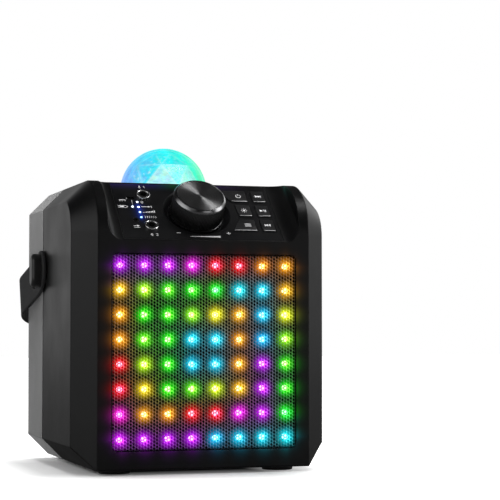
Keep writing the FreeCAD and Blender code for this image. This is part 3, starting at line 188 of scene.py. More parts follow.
# Ring nuts: width and height of the rounded outer edge, the lip's inset and depth, radius and depth along
# the inner slope, the bore, and the step over the socket's barrel
NUT_ROUND = 0.9
NUT_EDGE = 0.9
NUT_LIP = (1.1, 0.1)
NUT_SLOPE = ((4.8, 0.7), (4.1, 1.45), (3.45, 2.05))
NUT_BORE = 3.3
NUT_BORE_DEPTH = 2.3
NUT_STEP = 4.45
NUT_SUNK = 1.0

# Light dome
DOME_CENTRE = np.array(JOINTS["lens_spin"]["pos_m"])
LENS_SIDES = 7
LENS_BELT_ANGLE = 37.0
LENS_CROWN_ANGLE = 66.0
LENS_TURN = 252.0
LENS_PLACES = (-1.0, -0.7, -0.35, 0.2, 0.55, 1.0)
LENS_HUES = (0.64, 0.56, 0.51, 0.485, 0.43, 0.41)
LENS_PALE = (1.0, 0.35, 0.6, 0.6, 0.6, 0.6)
LENS_DRIFT = 0.3
# Paleness of a facet: at the foot, its loss with height and aside, where it is strongest, and the most of it
PALE_FOOT = 1.45
PALE_RISE = 1.8
PALE_ASIDE = 1.1
PALE_MIDDLE = -0.05
PALE_MOST = 0.95
# Clear cover
DOME_WALL = 2.0
DOME_FLANGE_WIDTH = 2.4
DOME_FLANGE_HEIGHT = 1.4
DOME_COLOUR_REACH = 42.0

# Carrying strap, in the axes of its hinge
STRAP_HINGE = np.array(JOINTS["strap_swing"]["pos_m"])
STRAP_WIDTH = 38.0
STRAP_THICKNESS = 3.0
STRAP_DROOP = 17.5
STRAP_MIDDLE = 119.5
STRAP_SPLAY = 6.0
STRAP_BEND = 120.0
STRAP_STRAIGHT = 14.0
STRAP_ARM = 68.7
STRAP_REACH = 122.16
STRAP_SLOT = 18.0
STRAP_SLOT_TRAVEL = 26.0
STRAP_CUT = 62.0
STRAP_SOFT_EDGE = 0.9
WELD_REACH = 0.02

# Studio, in metres: the floor, its painted shadow as low edge, high edge and reach, and its share in
# reflections
FLOOR_HALF = 6.0
FLOOR_DROP = 0.0002
FLOOR_MIRRORED = 0.12
SHADOW_SIDES = (-0.135, 0.05, 0.085)
SHADOW_ENDS = (FRONT_FACE + 0.04, 0.03, 0.27)
SHADOW_MIRRORED = 0.36
WORLD_FILL = 0.4
WORLD_ROUND = 0.02
# Bright parts of the surroundings in reflections: direction, cosine where they begin, strength
WORLD_LOBES = (
    ((-0.2, 0.98, -0.05), 0.75, 0.45), ((-0.95, -0.25, 0.05), 0.7, 1.3), ((0.42, -0.9, -0.06), 0.93, 0.7),
    ((0.95, 0.3, 0.1), 0.7, 0.55), ((0.92, -0.33, 0.25), 0.93, 3.0), ((0.67, 0.6, 0.43), 0.93, 1.0),
    ((-0.42, -0.88, 0.24), 0.97, 0.2),
)
# Area lights: name, place, target, side, power, seen in reflections
CABINET_MIDDLE = (0.0, 0.0, 0.15)
LIGHTS = (
    ("left_rear", (-1.5, 0.9, 0.9), CABINET_MIDDLE, 1.3, 18.0, False),
    ("overhead", (0.1, 0.4, 1.6), CABINET_MIDDLE, 1.2, 32.0, False),
    ("front_fill", (-0.6, -2.4, 1.1), CABINET_MIDDLE, 1.2, 7.0, False),
    ("knob_light", (0.5, -0.36, 1.1), tuple(KNOB_CENTRE), 0.25, 1.6, True),
)


# Meshes
def mesh_object(name, points, faces, finish):
    """A mesh object from points in metres and faces, in one of the finishes, linked to the scene."""
    mesh = bpy.data.meshes.new(name)
    mesh.from_pydata(np.asarray(points).reshape(-1, 3).tolist(), [], faces)
    mesh.materials.append(FINISHES[finish])
    made = bpy.data.objects.new(name, mesh)
    bpy.context.scene.collection.objects.link(made)
    return made


def piece(name, points, faces, finish, body, crease=CREASE):
    """A mesh object that is smooth up to the crease angle and rides on a body."""
    made = mesh_object(name, points, faces, finish)
    made.data.shade_smooth()
    made.data.set_sharp_from_angle(angle=math.radians(crease))
    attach(made, body)
    return made


def grid_quads(rows, columns, wrap=True):
    """Corner numbers of the four-sided faces of a grid of points; wrap joins the last column to the first."""
    index = np.arange(rows * columns).reshape(rows, columns)
    after = np.roll(index, -1, axis=1)
    quads = np.stack([index[:-1], after[:-1], after[1:], index[1:]], axis=-1)
    return (quads if wrap else quads[:, :-1]).reshape(-1, 4)


def lofted(name, rings, finish, body, crease=CREASE):
    """A closed surface through rings of points: faces between the rings and a flat face over each end."""
    count, around = rings.shape[:2]
    faces = grid_quads(count, around).tolist()
    faces.append(list(range(around))[::-1])
    faces.append(list(range((count - 1) * around, count * around)))
    return piece(name, rings, faces, finish, body, crease)


def ringed(name, rings, finish):
    """A closed surface on the cabinet through rings of points; the last ring meets the first, as on a nut."""
    count, around = rings.shape[:2]
    faces = grid_quads(count + 1, around) % (count * around)
    return piece(name, rings, faces.tolist(), finish, "cabinet", crease=40.0)


def paint_points(made, attribute, colours):
    """Keeps a colour for each point of a mesh, for its material to read."""
    layer = made.data.attributes.new(attribute, "FLOAT_COLOR", "POINT")
    values = np.concatenate([colours, np.ones((len(colours), 1))], axis=1)
    layer.data.foreach_set("color", values.astype(np.float32).ravel())


def thicken(made, thickness, offset=-1.0):
    """Gives an open sheet its thickness."""
    wall = made.modifiers.new("wall", "SOLIDIFY")
    wall.thickness = thickness * MM
    wall.offset = offset
    return made


def soften(made, width, segments):
    """Rounds the sharp edges of a piece."""
    bevel = made.modifiers.new("soft_edge", "BEVEL")
    bevel.width = width * MM
    bevel.segments = segments
    bevel.limit_method = "ANGLE"


def weld(made):
    """Merges points that lie on each other and turns all faces the same way."""
    work = bmesh.new()
    work.from_mesh(made.data)
    bmesh.ops.remove_doubles(work, verts=work.verts, dist=WELD_REACH * MM)
    bmesh.ops.recalc_face_normals(work, faces=work.faces)
    work.to_mesh(made.data)
    work.free()


# Places
def joined(*columns):
    """Row points from their coordinates, which may be arrays or single numbers."""
    return np.stack(np.broadcast_arrays(*columns), axis=-1)


def on_panel(across, uphill, outward):
    """Row points from millimetres along the panel's axes, counted from the knob's centre on the panel."""
    return KNOB_CENTRE + (joined(across, uphill, outward) * MM) @ PANEL_AXES


def on_dome(across, back, up):
    """Row points from millimetres counted from the middle of the dome's foot."""
    return DOME_CENTRE + joined(across, back, up) * MM


def panel_extent(node):
    """Lowest and highest corner of a node along the panel's axes, in millimetres."""
    vertices = NODES[node].data.vertices
    points = np.empty(len(vertices) * 3)
    vertices.foreach_get("co", points)
    steps = (points.reshape(-1, 3) - KNOB_CENTRE) @ PANEL_AXES.T / MM
    return steps.min(axis=0), steps.max(axis=0)


def turned(profile, around, place=on_panel, centre=(0.0, 0.0), ripple=0.0, ripples=0):
    """Rings of a turned form: each profile point is a radius and a height carried round the axis.

    Where ripple is given, the radius falls by ripple times a half cosine wave, ripples times round.
    """
    radius, height = np.array(profile, float).T[:, :, None]
    angle = 2 * np.pi * np.arange(around)[None] / around
    wave = radius - ripple * (0.5 - 0.5 * np.cos(ripples * angle))
    return place(centre[0] + wave * np.cos(angle), centre[1] + wave * np.sin(angle), height)


def arc(centre_x, centre_y, radius, start, end, steps=16):
    """Points of a circle's arc between two angles in degrees."""
    angle = np.radians(np.linspace(start, end, steps))
    return joined(centre_x + radius * np.cos(angle), centre_y + radius * np.sin(angle))


def rounded_outline(half_x, half_y, radius, steps=6):
    """A rectangle's outline, anticlockwise, with a quarter circle at each corner."""
    corners = [(half_x, half_y, 0), (-half_x, half_y, 90), (-half_x, -half_y, 180), (half_x, -half_y, 270)]
    parts = []
    for x, y, start in corners:
        centre = (x - math.copysign(radius, x), y - math.copysign(radius, y))
        parts.append(arc(*centre, radius, start, start + 90, steps))
    return np.concatenate(parts)


def scattered(numbers, shift=0.0):
    """A value between 0 and 1 for each number that looks random: the fraction of a large sine."""
    return np.abs(np.sin(numbers * SCATTER_STEP + shift) * SCATTER_SPREAD) % 1.0


# Finishes
def grey(value, blue=None):
    """A neutral colour, or one whose blue differs a little."""
    return (value, value, value if blue is None else blue)


class Graph:
    """The nodes of a material or a world, with short ways to add and link them."""

    def __init__(self, owner):
        owner.use_nodes = True
        self.nodes = owner.node_tree.nodes
        self.links = owner.node_tree.links

    def feed(self, socket, value):
        """Links an output to a socket, or gives it a fixed value; colours come as three numbers."""
        if isinstance(value, bpy.types.NodeSocket):
            self.links.new(value, socket)
        else:
            socket.default_value = (*value, 1.0) if socket.type == "RGBA" else value

    def add(self, kind, inputs, **settings):
        """A new node with its settings and inputs."""
        node = self.nodes.new(kind)
        for name, value in settings.items():
            setattr(node, name, value)
        for key, value in inputs.items():
            self.feed(node.inputs[key], value)
        return node

    def math(self, operation, *values):
        """A sum on numbers or outputs."""
        return self.add("ShaderNodeMath", dict(enumerate(values)), operation=operation).outputs[0]

    plus = partialmethod(math, "ADD")
    minus = partialmethod(math, "SUBTRACT")
    times = partialmethod(math, "MULTIPLY")
    least = partialmethod(math, "MINIMUM")
    most = partialmethod(math, "MAXIMUM")
    size = partialmethod(math, "ABSOLUTE")

    def vector(self, operation, first, second):
        """A sum on two vectors, with all its outputs."""
        return self.add("ShaderNodeVectorMath", {0: first, 1: second}, operation=operation).outputs

    def past(self, value, low, high):
        """How far a value lies outside a range, or nothing inside it."""
        return self.most(self.most(self.minus(low, value), self.minus(value, high)), 0.0)

    def spread(self, value, low, high, start=0.0, end=1.0, **settings):
        """Carries a value from the range start to end onto low to high."""
        inputs = {"Value": value, "From Min": start, "From Max": end, "To Min": low, "To Max": high}
        return self.add("ShaderNodeMapRange", inputs, **settings).outputs[0]

    def rays(self):
        """Which kind of ray meets the surface."""
        return self.add("ShaderNodeLightPath", {}).outputs

    def split(self, vector):
        """The three parts of a vector."""
        return self.add("ShaderNodeSeparateXYZ", {0: vector}).outputs


class Finish(Graph):
    """A material under construction: its main shader and the patterns that feed it."""

    def __init__(self, name, colour, roughness, **sockets):
        self.material = bpy.data.materials.new(name)
        super().__init__(self.material)
        self.shader = self.nodes["Principled BSDF"]
        self.place = self.nodes.new("ShaderNodeTexCoord").outputs["Object"]
        self.set("Base Color", colour)
        self.set("Roughness", roughness)
        for socket, value in sockets.items():
            self.set(socket.replace("_", " ").title().replace("Ior", "IOR"), value)

    def set(self, socket, value):
        """Feeds a socket of the main shader."""
        self.feed(self.shader.inputs[socket], value)

    def mix(self, factor, first, second, blend="MIX"):
        """Two colours mixed by a factor."""
        inputs = {0: factor, 6: first, 7: second}
        return self.add("ShaderNodeMix", inputs, data_type="RGBA", blend_type=blend).outputs[2]

    def noise(self, size, detail=2.0, stretch=(1.0, 1.0, 1.0)):
        """Noise whose blotches are about size millimetres, stretched along the axes."""
        scale = self.add("ShaderNodeMapping", {"Vector": self.place, "Scale": stretch}).outputs[0]
        inputs = {"Vector": scale, "Scale": 1.0 / (size * MM), "Detail": detail}
        return self.add("ShaderNodeTexNoise", inputs).outputs["Fac"]

    def ramp(self, value, stops):
        """A colour band: stops are (place, colour) pairs."""
        node = self.add("ShaderNodeValToRGB", {"Fac": value})
        elements = node.color_ramp.elements
        while len(elements) < len(stops):
            elements.new(1.0)
        for element, (place, colour) in zip(elements, stops):
            element.position = place
            element.color = (*colour, 1.0)
        return node.outputs["Color"]

    def bump(self, height, strength, depth, edge=0.0):
        """Raises the surface by a height pattern, depth in millimetres, over edges shaded as if rounded."""
        inputs = {"Height": height, "Strength": strength, "Distance": depth * MM}
        if edge:
            inputs["Normal"] = self.add("ShaderNodeBevel", {"Radius": edge * MM}, samples=6).outputs[0]
        self.set("Normal", self.add("ShaderNodeBump", inputs).outputs[0])

    def axes(self):
        """Where a point of the surface lies along X, Y and Z, in metres."""
        return self.split(self.place)

    def along_panel(self, direction):
        """Distance in millimetres of a point from the knob's centre along one of the panel's axes."""
        away = self.vector("SUBTRACT", self.place, tuple(KNOB_CENTRE))[0]
        return self.math("DIVIDE", self.vector("DOT_PRODUCT", away, tuple(direction))["Value"], MM)

    def shine(self, colour, strength):
        """Light given off by the surface."""
        self.set("Emission Color", colour)
        self.set("Emission Strength", strength)

    def attribute(self, name, output="Color"):
        """A value or colour kept on the mesh."""
        return self.add("ShaderNodeAttribute", {}, attribute_name=name).outputs[output]

    def blend(self, share, first, second):
        """Two shaders mixed by a share."""
        return self.add("ShaderNodeMixShader", {0: share, 1: first, 2: second}).outputs[0]

    def show(self, shader):
        """Makes a mixed shader the material's surface."""
        self.feed(self.nodes["Material Output"].inputs["Surface"], shader)


def lamp_hues():
    """Hue of each lamp, row by row from the top, along a clockwise spiral from the outside in.

    A lamp's ring is its distance from the nearest side. Its place in the rainbow is the ring's start plus a
    step for each lamp along the ring, or a swing there and back as a cosine. The rainbow lingers on pure
    colours.
    """
    row, column = np.mgrid[0:LAMP_COUNT, 0:LAMP_COUNT]
    last = LAMP_COUNT - 1
    ring = np.minimum(np.minimum(row, column), np.minimum(last - row, last - column))
    side = last - 2 * ring
    down, right = row - ring, column - ring
    on_side = [down == 0, right == side, down == side]
    along = np.select(on_side, [right, side + down, 3 * side - right], 4 * side - down)
    turn = 2 * np.pi * (along - SWING_PHASE) / np.maximum(4 * side, 1)
    start, step, swing = (np.array(values)[ring] for values in (RING_START, RING_STEP, RING_SWING))
    place = (start + step * along + swing * np.cos(turn)) % 1.0
    return np.interp(place, RAINBOW_PLACES, RAINBOW_HUES) % 1.0


def hue_colour(hue, saturation=1.0):
    """Red, green and blue of a hue: each falls linearly with the hue's distance from it round the circle."""
    wheel = np.abs((np.asarray(hue)[..., None] * 6 + np.array([0, 4, 2])) % 6 - 3) - 1
    return 1 - saturation * (1 - np.clip(wheel, 0, 1))


# Pure colours of the lamps, deepened for their halos and paler for their cores
LAMP_COLOURS = hue_colour(lamp_hues()) ** LAMP_DEPTH
LAMP_CORES = hue_colour(lamp_hues()) ** CORE_DEPTH
LAMP_STEPS = np.arange(LAMP_COUNT) / (LAMP_COUNT - 1)
LAMP_X = LAMPS_LOW.x + LAMP_SIZE / 2 * MM + (LAMPS_HIGH.x - LAMPS_LOW.x - LAMP_SIZE * MM) * LAMP_STEPS
LAMP_Z = LAMPS_HIGH.z - LAMP_SIZE / 2 * MM - (LAMPS_HIGH.z - LAMPS_LOW.z - LAMP_SIZE * MM) * LAMP_STEPS


def grain(mat, colour, shade, size, roughness, strength, edge=0.0):
    """Fine moulded grain: speckled tone and gloss, soft blotches of wear, a shallow bump. Gives the tone."""
    fine = mat.noise(size, 3.0)
    broad = mat.noise(WEAR_SIZE, 4.0)
    tone = mat.mix(mat.spread(broad, 0.0, 1.0, 0.3, 0.7), colour, shade)
    tone = mat.mix(mat.spread(fine, 0.0, 0.3, 0.45, 0.75), tone, shade)
    mat.set("Base Color", tone)
    gloss = mat.plus(broad, mat.times(fine, 0.3))
    mat.set("Roughness", mat.spread(gloss, *roughness, 0.4, 0.9))
    mat.bump(fine, strength, GRAIN_DEPTH, edge)
    return tone


def lamp_spill(mat):
    """Painted light of the outer lamps on the front round the grille, as a glow in their colours.

    For each side, the colour runs along its lamps, swells at each lamp as a cosine and fades as
    exp(-distance / fade) away from the opening.
    """
    x, y, z = mat.axes()
    upward = LAMP_Z[::-1]
    sides = [
        (x, OPEN_X[0], z, upward, LAMP_COLOURS[::-1, 0], 1.0),
        (x, OPEN_X[1], z, upward, LAMP_COLOURS[::-1, -1], 0.8),
        (z, OPEN_Z[0], x, LAMP_X, LAMP_COLOURS[-1], 0.5),
        (z, OPEN_Z[1], x, LAMP_X, LAMP_COLOURS[0], 0.2),
    ]
    total = None
    for across, edge, along, places, colours, share in sides:
        start, end = float(places[0]), float(places[-1])
        place = mat.spread(along, 0.0, 1.0, start, end)
        colour = mat.ramp(place, list(zip(LAMP_STEPS, colours)))
        swell = mat.math("COSINE", mat.times(place, 2 * math.pi * (LAMP_COUNT - 1)))
        away = mat.size(mat.minus(across, edge))
        away = mat.plus(away, mat.past(along, start, end))
        fade = mat.math("EXPONENT", mat.times(away, -1 / (SPILL_FADE * MM)))
        fade = mat.times(fade, mat.spread(swell, SPILL_DIP * share, share, -1.0, 1.0))
        lit = mat.mix(fade, BLACK, colour)
        total = lit if total is None else mat.mix(1.0, total, lit, "ADD")
    on_front = mat.math("LESS_THAN", y, FRONT_FACE + SPILL_BEHIND)
    mat.shine(total, mat.times(on_front, SPILL_STRENGTH))


def shell_plastic(name, colour, shade, roughness, sheen=0.0, lit=False):
    """Satin black moulded housing, with painted shade in the parting line's groove and a painted highlight
    behind it.
    """
    mat = Finish(name, colour, roughness[0], specular_ior_level=0.3, sheen_weight=sheen, sheen_roughness=0.35)
    tone = grain(mat, colour, shade, 0.45, roughness, 0.2, EDGE_ROUND)
    past = mat.minus(mat.axes()[1], SEAM)
    # Painted highlight: a paler strip just behind the parting line
    lip = mat.spread(mat.size(mat.minus(past, SEAM_HIGHLIGHT_PLACE)), 1.0, 0.0, *SEAM_HIGHLIGHT_FADE)
    mat.set("Base Color", mat.mix(mat.times(lip, SEAM_HIGHLIGHT_SHARE), tone, grey(0.9)))
    if lit:
        lamp_spill(mat)
    # Painted shade: a near-black diffuse layer over the parting line's groove
    seam_shade = mat.spread(mat.size(past), 1.0, 0.0, *SEAM_SHADE_FADE)
    dark = mat.add("ShaderNodeBsdfDiffuse", {"Color": grey(0.002)}).outputs[0]
    mat.show(mat.blend(seam_shade, mat.shader.outputs[0], dark))
    return mat.material


def panel_plastic():
    """Finely sparkling black panel, with a painted blue glow at the lights and the dome's painted light on
    its top edge.
    """
    mat = Finish("panel_plastic", grey(0.01), 0.45, specular_ior_level=0.25)
    grain(mat, grey(0.0025, 0.003), grey(0.007, 0.0075), 0.6, (0.27, 0.35), 0.5, EDGE_ROUND)
    x, up = mat.along_panel(ACROSS), mat.along_panel(UPHILL)
    light_low, light_high = panel_extent("indicator_lights")
    side = mat.size(mat.minus(x, float(light_high[0] - PIPE_HALF)))
    away = mat.plus(side, mat.past(up, float(light_low[1]), BLUE_TOP))
    blue = mat.math("EXPONENT", mat.times(away, -BLUE_FADE))
    colours = mat.ramp(mat.spread(x, 0.0, 1.0, *DOME_LIGHT_SPAN), [
        (0.0, (0.1, 0.05, 0.5)), (0.25, (0.05, 0.05, 0.6)), (0.4, (0.02, 0.4, 0.1)),
        (0.55, (0.02, 0.03, 0.6)), (0.75, (0.1, 0.02, 0.3)), (1.0, BLACK),
    ])
    top = mat.math("POWER", mat.spread(up, 0.0, 1.0, *DOME_LIGHT_RISE), 2.0)
    dome_light = mat.mix(mat.times(top, DOME_LIGHT_SHARE), BLACK, colours)
    mat.shine(mat.mix(mat.times(blue, BLUE_SHARE), dome_light, (0.01, 0.08, 1.0)), 1.0)
    return mat.material


def moulded(name, colour, shade, roughness=(0.35, 0.5), strength=0.2, size=0.4, **sockets):
    """Plain moulded plastic, paint or rubber with its grain."""
    mat = Finish(name, colour, roughness[0], **sockets)
    grain(mat, colour, shade, size, roughness, strength)
    return mat.material


def rubber(name, colour, shade):
    """Soft matt rubber with a faint pebbled grain."""
    return moulded(name, colour, shade, (0.55, 0.7), 0.35, 0.7, specular_ior_level=0.35)


def grille_paint():
    """Powder-coated sheet with the lamps' light painted on it as a glow, and painted shade under the
    opening's edge.

    Strands of one slant carry a painted highlight, and those of the other slants painted shade.
    """
    mat = Finish("grille_paint", grey(0.1), 0.5, specular_ior_level=0.2)
    tone = grain(mat, grey(0.03, 0.031), grey(0.05, 0.052), 0.25, (0.45, 0.6), 0.3)
    x, _, z = mat.axes()
    sides = mat.least(mat.minus(x, OPEN_X[0]), mat.minus(OPEN_X[1], x))
    ends = mat.least(mat.minus(z, OPEN_Z[0]), mat.minus(OPEN_Z[1], z))
    unshaded_share = mat.spread(mat.least(sides, ends), 0.0, 1.0, *EDGE_SHADE)
    # Painted highlight and shade per strand, and painted shade near the opening's edge, on both colour and
    # glow
    strand_light = mat.times(mat.attribute("painted_strand_light", "Fac"), unshaded_share)
    tone = mat.add("ShaderNodeVectorMath", {0: tone, "Scale": strand_light}, operation="SCALE").outputs[0]
    mat.set("Base Color", tone)
    strength = mat.times(unshaded_share, mat.spread(strand_light, 0.6, 1.2, 0.4, 1.9))
    mat.shine(mat.attribute("lamp_glow"), strength)
    return mat.material


def lamp_light(name, strength):
    """Lit plastic that glows with each lamp's colour."""
    mat = Finish(name, grey(0.004), 0.5, specular_ior_level=0.1)
    mat.shine(mat.attribute("lamp_glow"), strength)
    return mat.material


def circuit_board(name, colour):
    """Solder mask over fine straight tracks."""
    mat = Finish(name, colour, 0.35)
    inputs = {"Vector": mat.place, "Scale": 90.0, "Mortar Size": 0.03}
    tracks = mat.add("ShaderNodeTexBrick", inputs).outputs["Fac"]
    tint = tuple(min(1.0, 2.2 * value) for value in colour)
    mat.set("Base Color", mat.mix(tracks, colour, tint))
    mat.bump(tracks, 0.3, 0.1)
    return mat.material


def metal(name, colour, roughness, size=0.6):
    """Bare metal with fine scratches that vary its gloss."""
    mat = Finish(name, colour, roughness, metallic=1.0)
    scratches = mat.noise(size, 5.0)
    mat.set("Roughness", mat.spread(scratches, roughness * 0.7, roughness * 1.4, 0.3, 0.7))
    mat.bump(scratches, 0.1, 0.02)
    return mat.material


def spun_metal():
    """Dark face turned in fine circles: highlights fan out from its centre."""
    sockets = {"metallic": 1.0, "anisotropic": 0.88, "anisotropic_rotation": 0.25}
    mat = Finish("spun_metal", grey(0.35, 0.355), 0.33, **sockets)
    tangent = mat.add("ShaderNodeTangent", {}, direction_type="UV_MAP", uv_map="spin").outputs[0]
    mat.set("Tangent", tangent)
    radius = mat.split(mat.add("ShaderNodeUVMap", {}, uv_map="spin").outputs[0])[1]
    inputs = {"W": radius, "Scale": 36.0, "Detail": 2.0}
    rings = mat.add("ShaderNodeTexNoise", inputs, noise_dimensions="1D").outputs["Fac"]
    mat.set("Base Color", mat.ramp(rings, [(0.3, grey(0.34, 0.343)), (0.7, grey(0.48, 0.486))]))
    return mat.material


def printed_ink():
    """Slightly worn white print."""
    mat = Finish("printed_ink", grey(0.75, 0.76), 0.5)
    wear = mat.noise(0.8, 3.0)
    mat.set("Base Color", mat.ramp(wear, [(0.25, grey(0.45, 0.46)), (0.5, grey(0.82, 0.83))]))
    return mat.material


def indicator_light():
    """Lit light pipes: blue low in the column, nearly white high up."""
    mat = Finish("indicator_light", (0.8, 0.85, 0.9), 0.25)
    height = mat.spread(mat.along_panel(UPHILL), 0.0, 1.0, *PIPE_SPAN)
    mat.shine(mat.ramp(height, [
        (0.1, (0.1, 0.45, 1.0)), (0.45, (0.35, 0.65, 1.0)), (0.75, (0.8, 0.9, 1.0)), (1.0, (0.75, 0.8, 1.0)),
    ]), 2.5)
    return mat.material


def clear_cover():
    """Clear plastic lit from inside, violet at the left through blue and cyan to green at the right.

    It is thin where it faces the eye and deeper in colour towards its edge, with a paler rim.
    """
    mat = Finish("clear_cover", BLACK, 0.05, specular_ior_level=0.25)
    across = mat.math("DIVIDE", mat.axes()[0], MM)
    across = mat.spread(across, 0.0, 1.0, -DOME_COLOUR_REACH, DOME_COLOUR_REACH)
    colour = mat.ramp(across, [
        (0.0, (0.2, 0.36, 1.0)), (0.2, (0.08, 0.68, 1.0)), (0.42, (0.03, 0.95, 1.0)),
        (0.65, (0.02, 0.98, 0.8)), (0.85, (0.03, 0.95, 0.45)), (1.0, (0.06, 0.9, 0.5)),
    ])
    swirl = mat.noise(7.0, 4.0)
    edge = mat.add("ShaderNodeLayerWeight", {"Blend": 0.35}).outputs["Facing"]
    depth = mat.plus(edge, mat.times(swirl, 0.2))
    mat.set("Alpha", mat.spread(depth, 0.05, 0.8, 0.15, 0.8))
    rim = mat.spread(edge, 0.0, 0.5, 0.72, 1.0)
    mat.shine(mat.mix(rim, colour, (0.7, 1.0, 0.95)), mat.spread(swirl, 0.75, 1.04, 0.35, 0.65))
    mat.bump(swirl, 0.08, 0.6)
    return mat.material


def lens_light():
    """Cut lens: each facet glows with its own share of light, mottled and flecked, between pale edges."""
    mat = Finish("lens_light", (0.0, 0.01, 0.01), 0.1)
    corners = mat.split(mat.attribute("facet_corner"))
    inside = mat.least(mat.least(corners[0], corners[1]), corners[2])
    edge = mat.spread(inside, 0.4, 0.0, 0.0, 0.09)
    veins = mat.spread(mat.noise(5.0, 5.0, (1.0, 1.0, 2.0)), 0.84, 1.08, 0.35, 0.62)
    mottle = mat.ramp(mat.noise(8.0, 4.0, (1.0, 1.0, 1.3)), [
        (0.36, (0.4, 0.4, 1.0)), (0.46, (0.06, 0.7, 1.0)), (0.54, (0.05, 1.0, 0.95)),
        (0.64, (0.4, 1.0, 0.45)),
    ])
    light = mat.mix(0.34, mat.attribute("facet_light"), mottle)
    flecks = mat.spread(mat.noise(3.6, 3.0), 0.0, 0.6, 0.55, 0.72)
    light = mat.mix(mat.most(edge, flecks), light, (0.8, 1.0, 1.0))
    mat.shine(light, mat.most(veins, edge))
    mat.bump(mat.noise(3.0, 3.0), 0.15, 0.5)
    return mat.material


def pale_floor():
    """A floor that stays white to the camera, keeps the shadow and can be seen through from below.

    The shadow is partly real and partly painted: the painted shadow is dark inside a rectangle and clears
    with the distance from it, each way at its own rate.
    """
    mat = Finish("pale_floor", grey(0.82), 0.9, specular_ior_level=0.0)
    grain(mat, grey(0.82), grey(0.8), 4.0, (0.85, 0.95), 0.02)
    rays = mat.rays()
    x, y, _ = mat.axes()
    squares = [
        mat.math("POWER", mat.math("DIVIDE", mat.past(place, low, high), reach), 2.0)
        for place, (low, high, reach) in ((x, SHADOW_SIDES), (y, SHADOW_ENDS))
    ]
    # Painted shadow: the added white, and the floor's look in reflections, are held back near the cabinet
    bright = mat.math("SMOOTH_MIN", mat.math("SQRT", mat.plus(*squares)), 1.0, 0.4)
    seen = mat.most(rays["Is Camera Ray"], rays["Is Transmission Ray"])
    mat.shine(WHITE, mat.times(seen, bright))
    strength = mat.spread(bright, SHADOW_MIRRORED * FLOOR_MIRRORED, FLOOR_MIRRORED)
    dim = mat.add("ShaderNodeEmission", {"Color": WHITE, "Strength": strength}).outputs[0]
    mirrored = mat.blend(rays["Is Glossy Ray"], mat.shader.outputs[0], dim)
    below = mat.add("ShaderNodeNewGeometry", {}).outputs["Backfacing"]
    clear = mat.add("ShaderNodeBsdfTransparent", {}).outputs[0]
    mat.show(mat.blend(below, mirrored, clear))
    return mat.material


FINISHES = {
    "front_shell": shell_plastic(
        "shell_front", grey(0.0022, 0.0024), grey(0.004, 0.0042), (0.3, 0.38), lit=True),
    "rear_shell": shell_plastic("shell_rear", grey(0.006, 0.0062), grey(0.01, 0.0102), (0.42, 0.52), 0.38),
    "panel": panel_plastic(),
    "grille": grille_paint(),
    "lamp": lamp_light("lamp_light", 1.7),
    "cup": lamp_light("cup_light", 1.0),
    # Print, and the keys' painted highlights
    "ink": printed_ink(),
    "inner": moulded("inner_plastic", grey(0.006), grey(0.012), (0.5, 0.7)),
    "board": circuit_board("lamp_board_mask", (0.008, 0.009, 0.011)),
    "green_board": circuit_board("board_mask", (0.012, 0.06, 0.025)),
    "basket": moulded("basket_paint", grey(0.02), grey(0.035), (0.4, 0.55)),
    "paper": rubber("cone_paper", grey(0.03, 0.033), grey(0.05, 0.055)),
    "iron": metal("magnet_iron", grey(0.12), 0.5),
    "steel": metal("turned_steel", grey(0.55, 0.57), 0.3),
    "screw": metal("screw_steel", grey(0.25, 0.26), 0.35),
    "chrome": metal("nut_chrome", grey(0.95, 0.96), 0.2, 2.0),
    "key": moulded("key_plastic", grey(0.006, 0.0065), grey(0.011, 0.0115), (0.28, 0.36), 0.25),
    "knob_skirt": moulded("knob_skirt", grey(0.006, 0.0065), grey(0.011), (0.25, 0.36), 0.15),
    "knob_rim": metal("knob_rim", grey(0.3, 0.305), 0.18, 3.0),
    "knob_ring": metal("knob_ring", grey(0.12, 0.122), 0.3, 3.0),
    "knob_face": spun_metal(),
    "socket": moulded("socket_plastic", grey(0.006), grey(0.012), (0.2, 0.35)),
    "light": indicator_light(),
    "cover": clear_cover(),
    "lens": lens_light(),
    "rubber": rubber("foot_rubber", grey(0.008), grey(0.016)),
    "strap": rubber("strap_rubber", grey(0.009, 0.0095), grey(0.016, 0.0165)),
    "lug": moulded("lug_plastic", grey(0.006), grey(0.01), (0.25, 0.36), 0.12),
    "battery": moulded("battery_sleeve", (0.01, 0.03, 0.09), (0.02, 0.05, 0.13), (0.15, 0.25)),
    "floor": pale_floor(),
}

# Carried-over solids of each finish
FINISHED_NODES = {
    "front_shell": "front_shell",
    "rear_shell": "rear_shell dome_collar",
    "panel": "control_panel",
    "inner": "lamp_frame speaker_baffle dome_tray",
    "board": "lamp_board dome_board",
    "green_board": "control_board amplifier_board",
    "basket": "speaker_basket",
    "paper": "speaker_cone speaker_dust_cap",
    "iron": "speaker_magnet",
    "steel": "knob_shaft encoder_plunger rotor_shaft dome_motor",
    "screw": "case_screws foot_screws speaker_screws",
    "socket": "charge_socket switches encoder mic_socket_1 mic_socket_2 line_socket",
    "light": "indicator_lights",
    "rubber": "speaker_surround foot_front_left foot_front_right foot_rear_left foot_rear_right",
    "lug": "strap_lug_left strap_lug_right",
    "battery": "battery_pack",
}


def finish_nodes():
    """Gives each carried-over solid its finish."""
    for finish, nodes in FINISHED_NODES.items():
        for node in nodes.split():
            NODES[node].material_slots[0].material = FINISHES[finish]


# Grille and lamps
def halo(distance):
    """Share of a lamp's colour at a distance in millimetres: a bright middle and a long, dim tail.

    The middle falls as exp(-(r / reach)^2), the tail as exp(-r / length).
    """
    middle = GLOW_STRENGTH * np.exp(-(distance / GLOW_REACH) ** 2)
    return middle + TAIL_SHARE * np.exp(-distance / GLOW_TAIL)


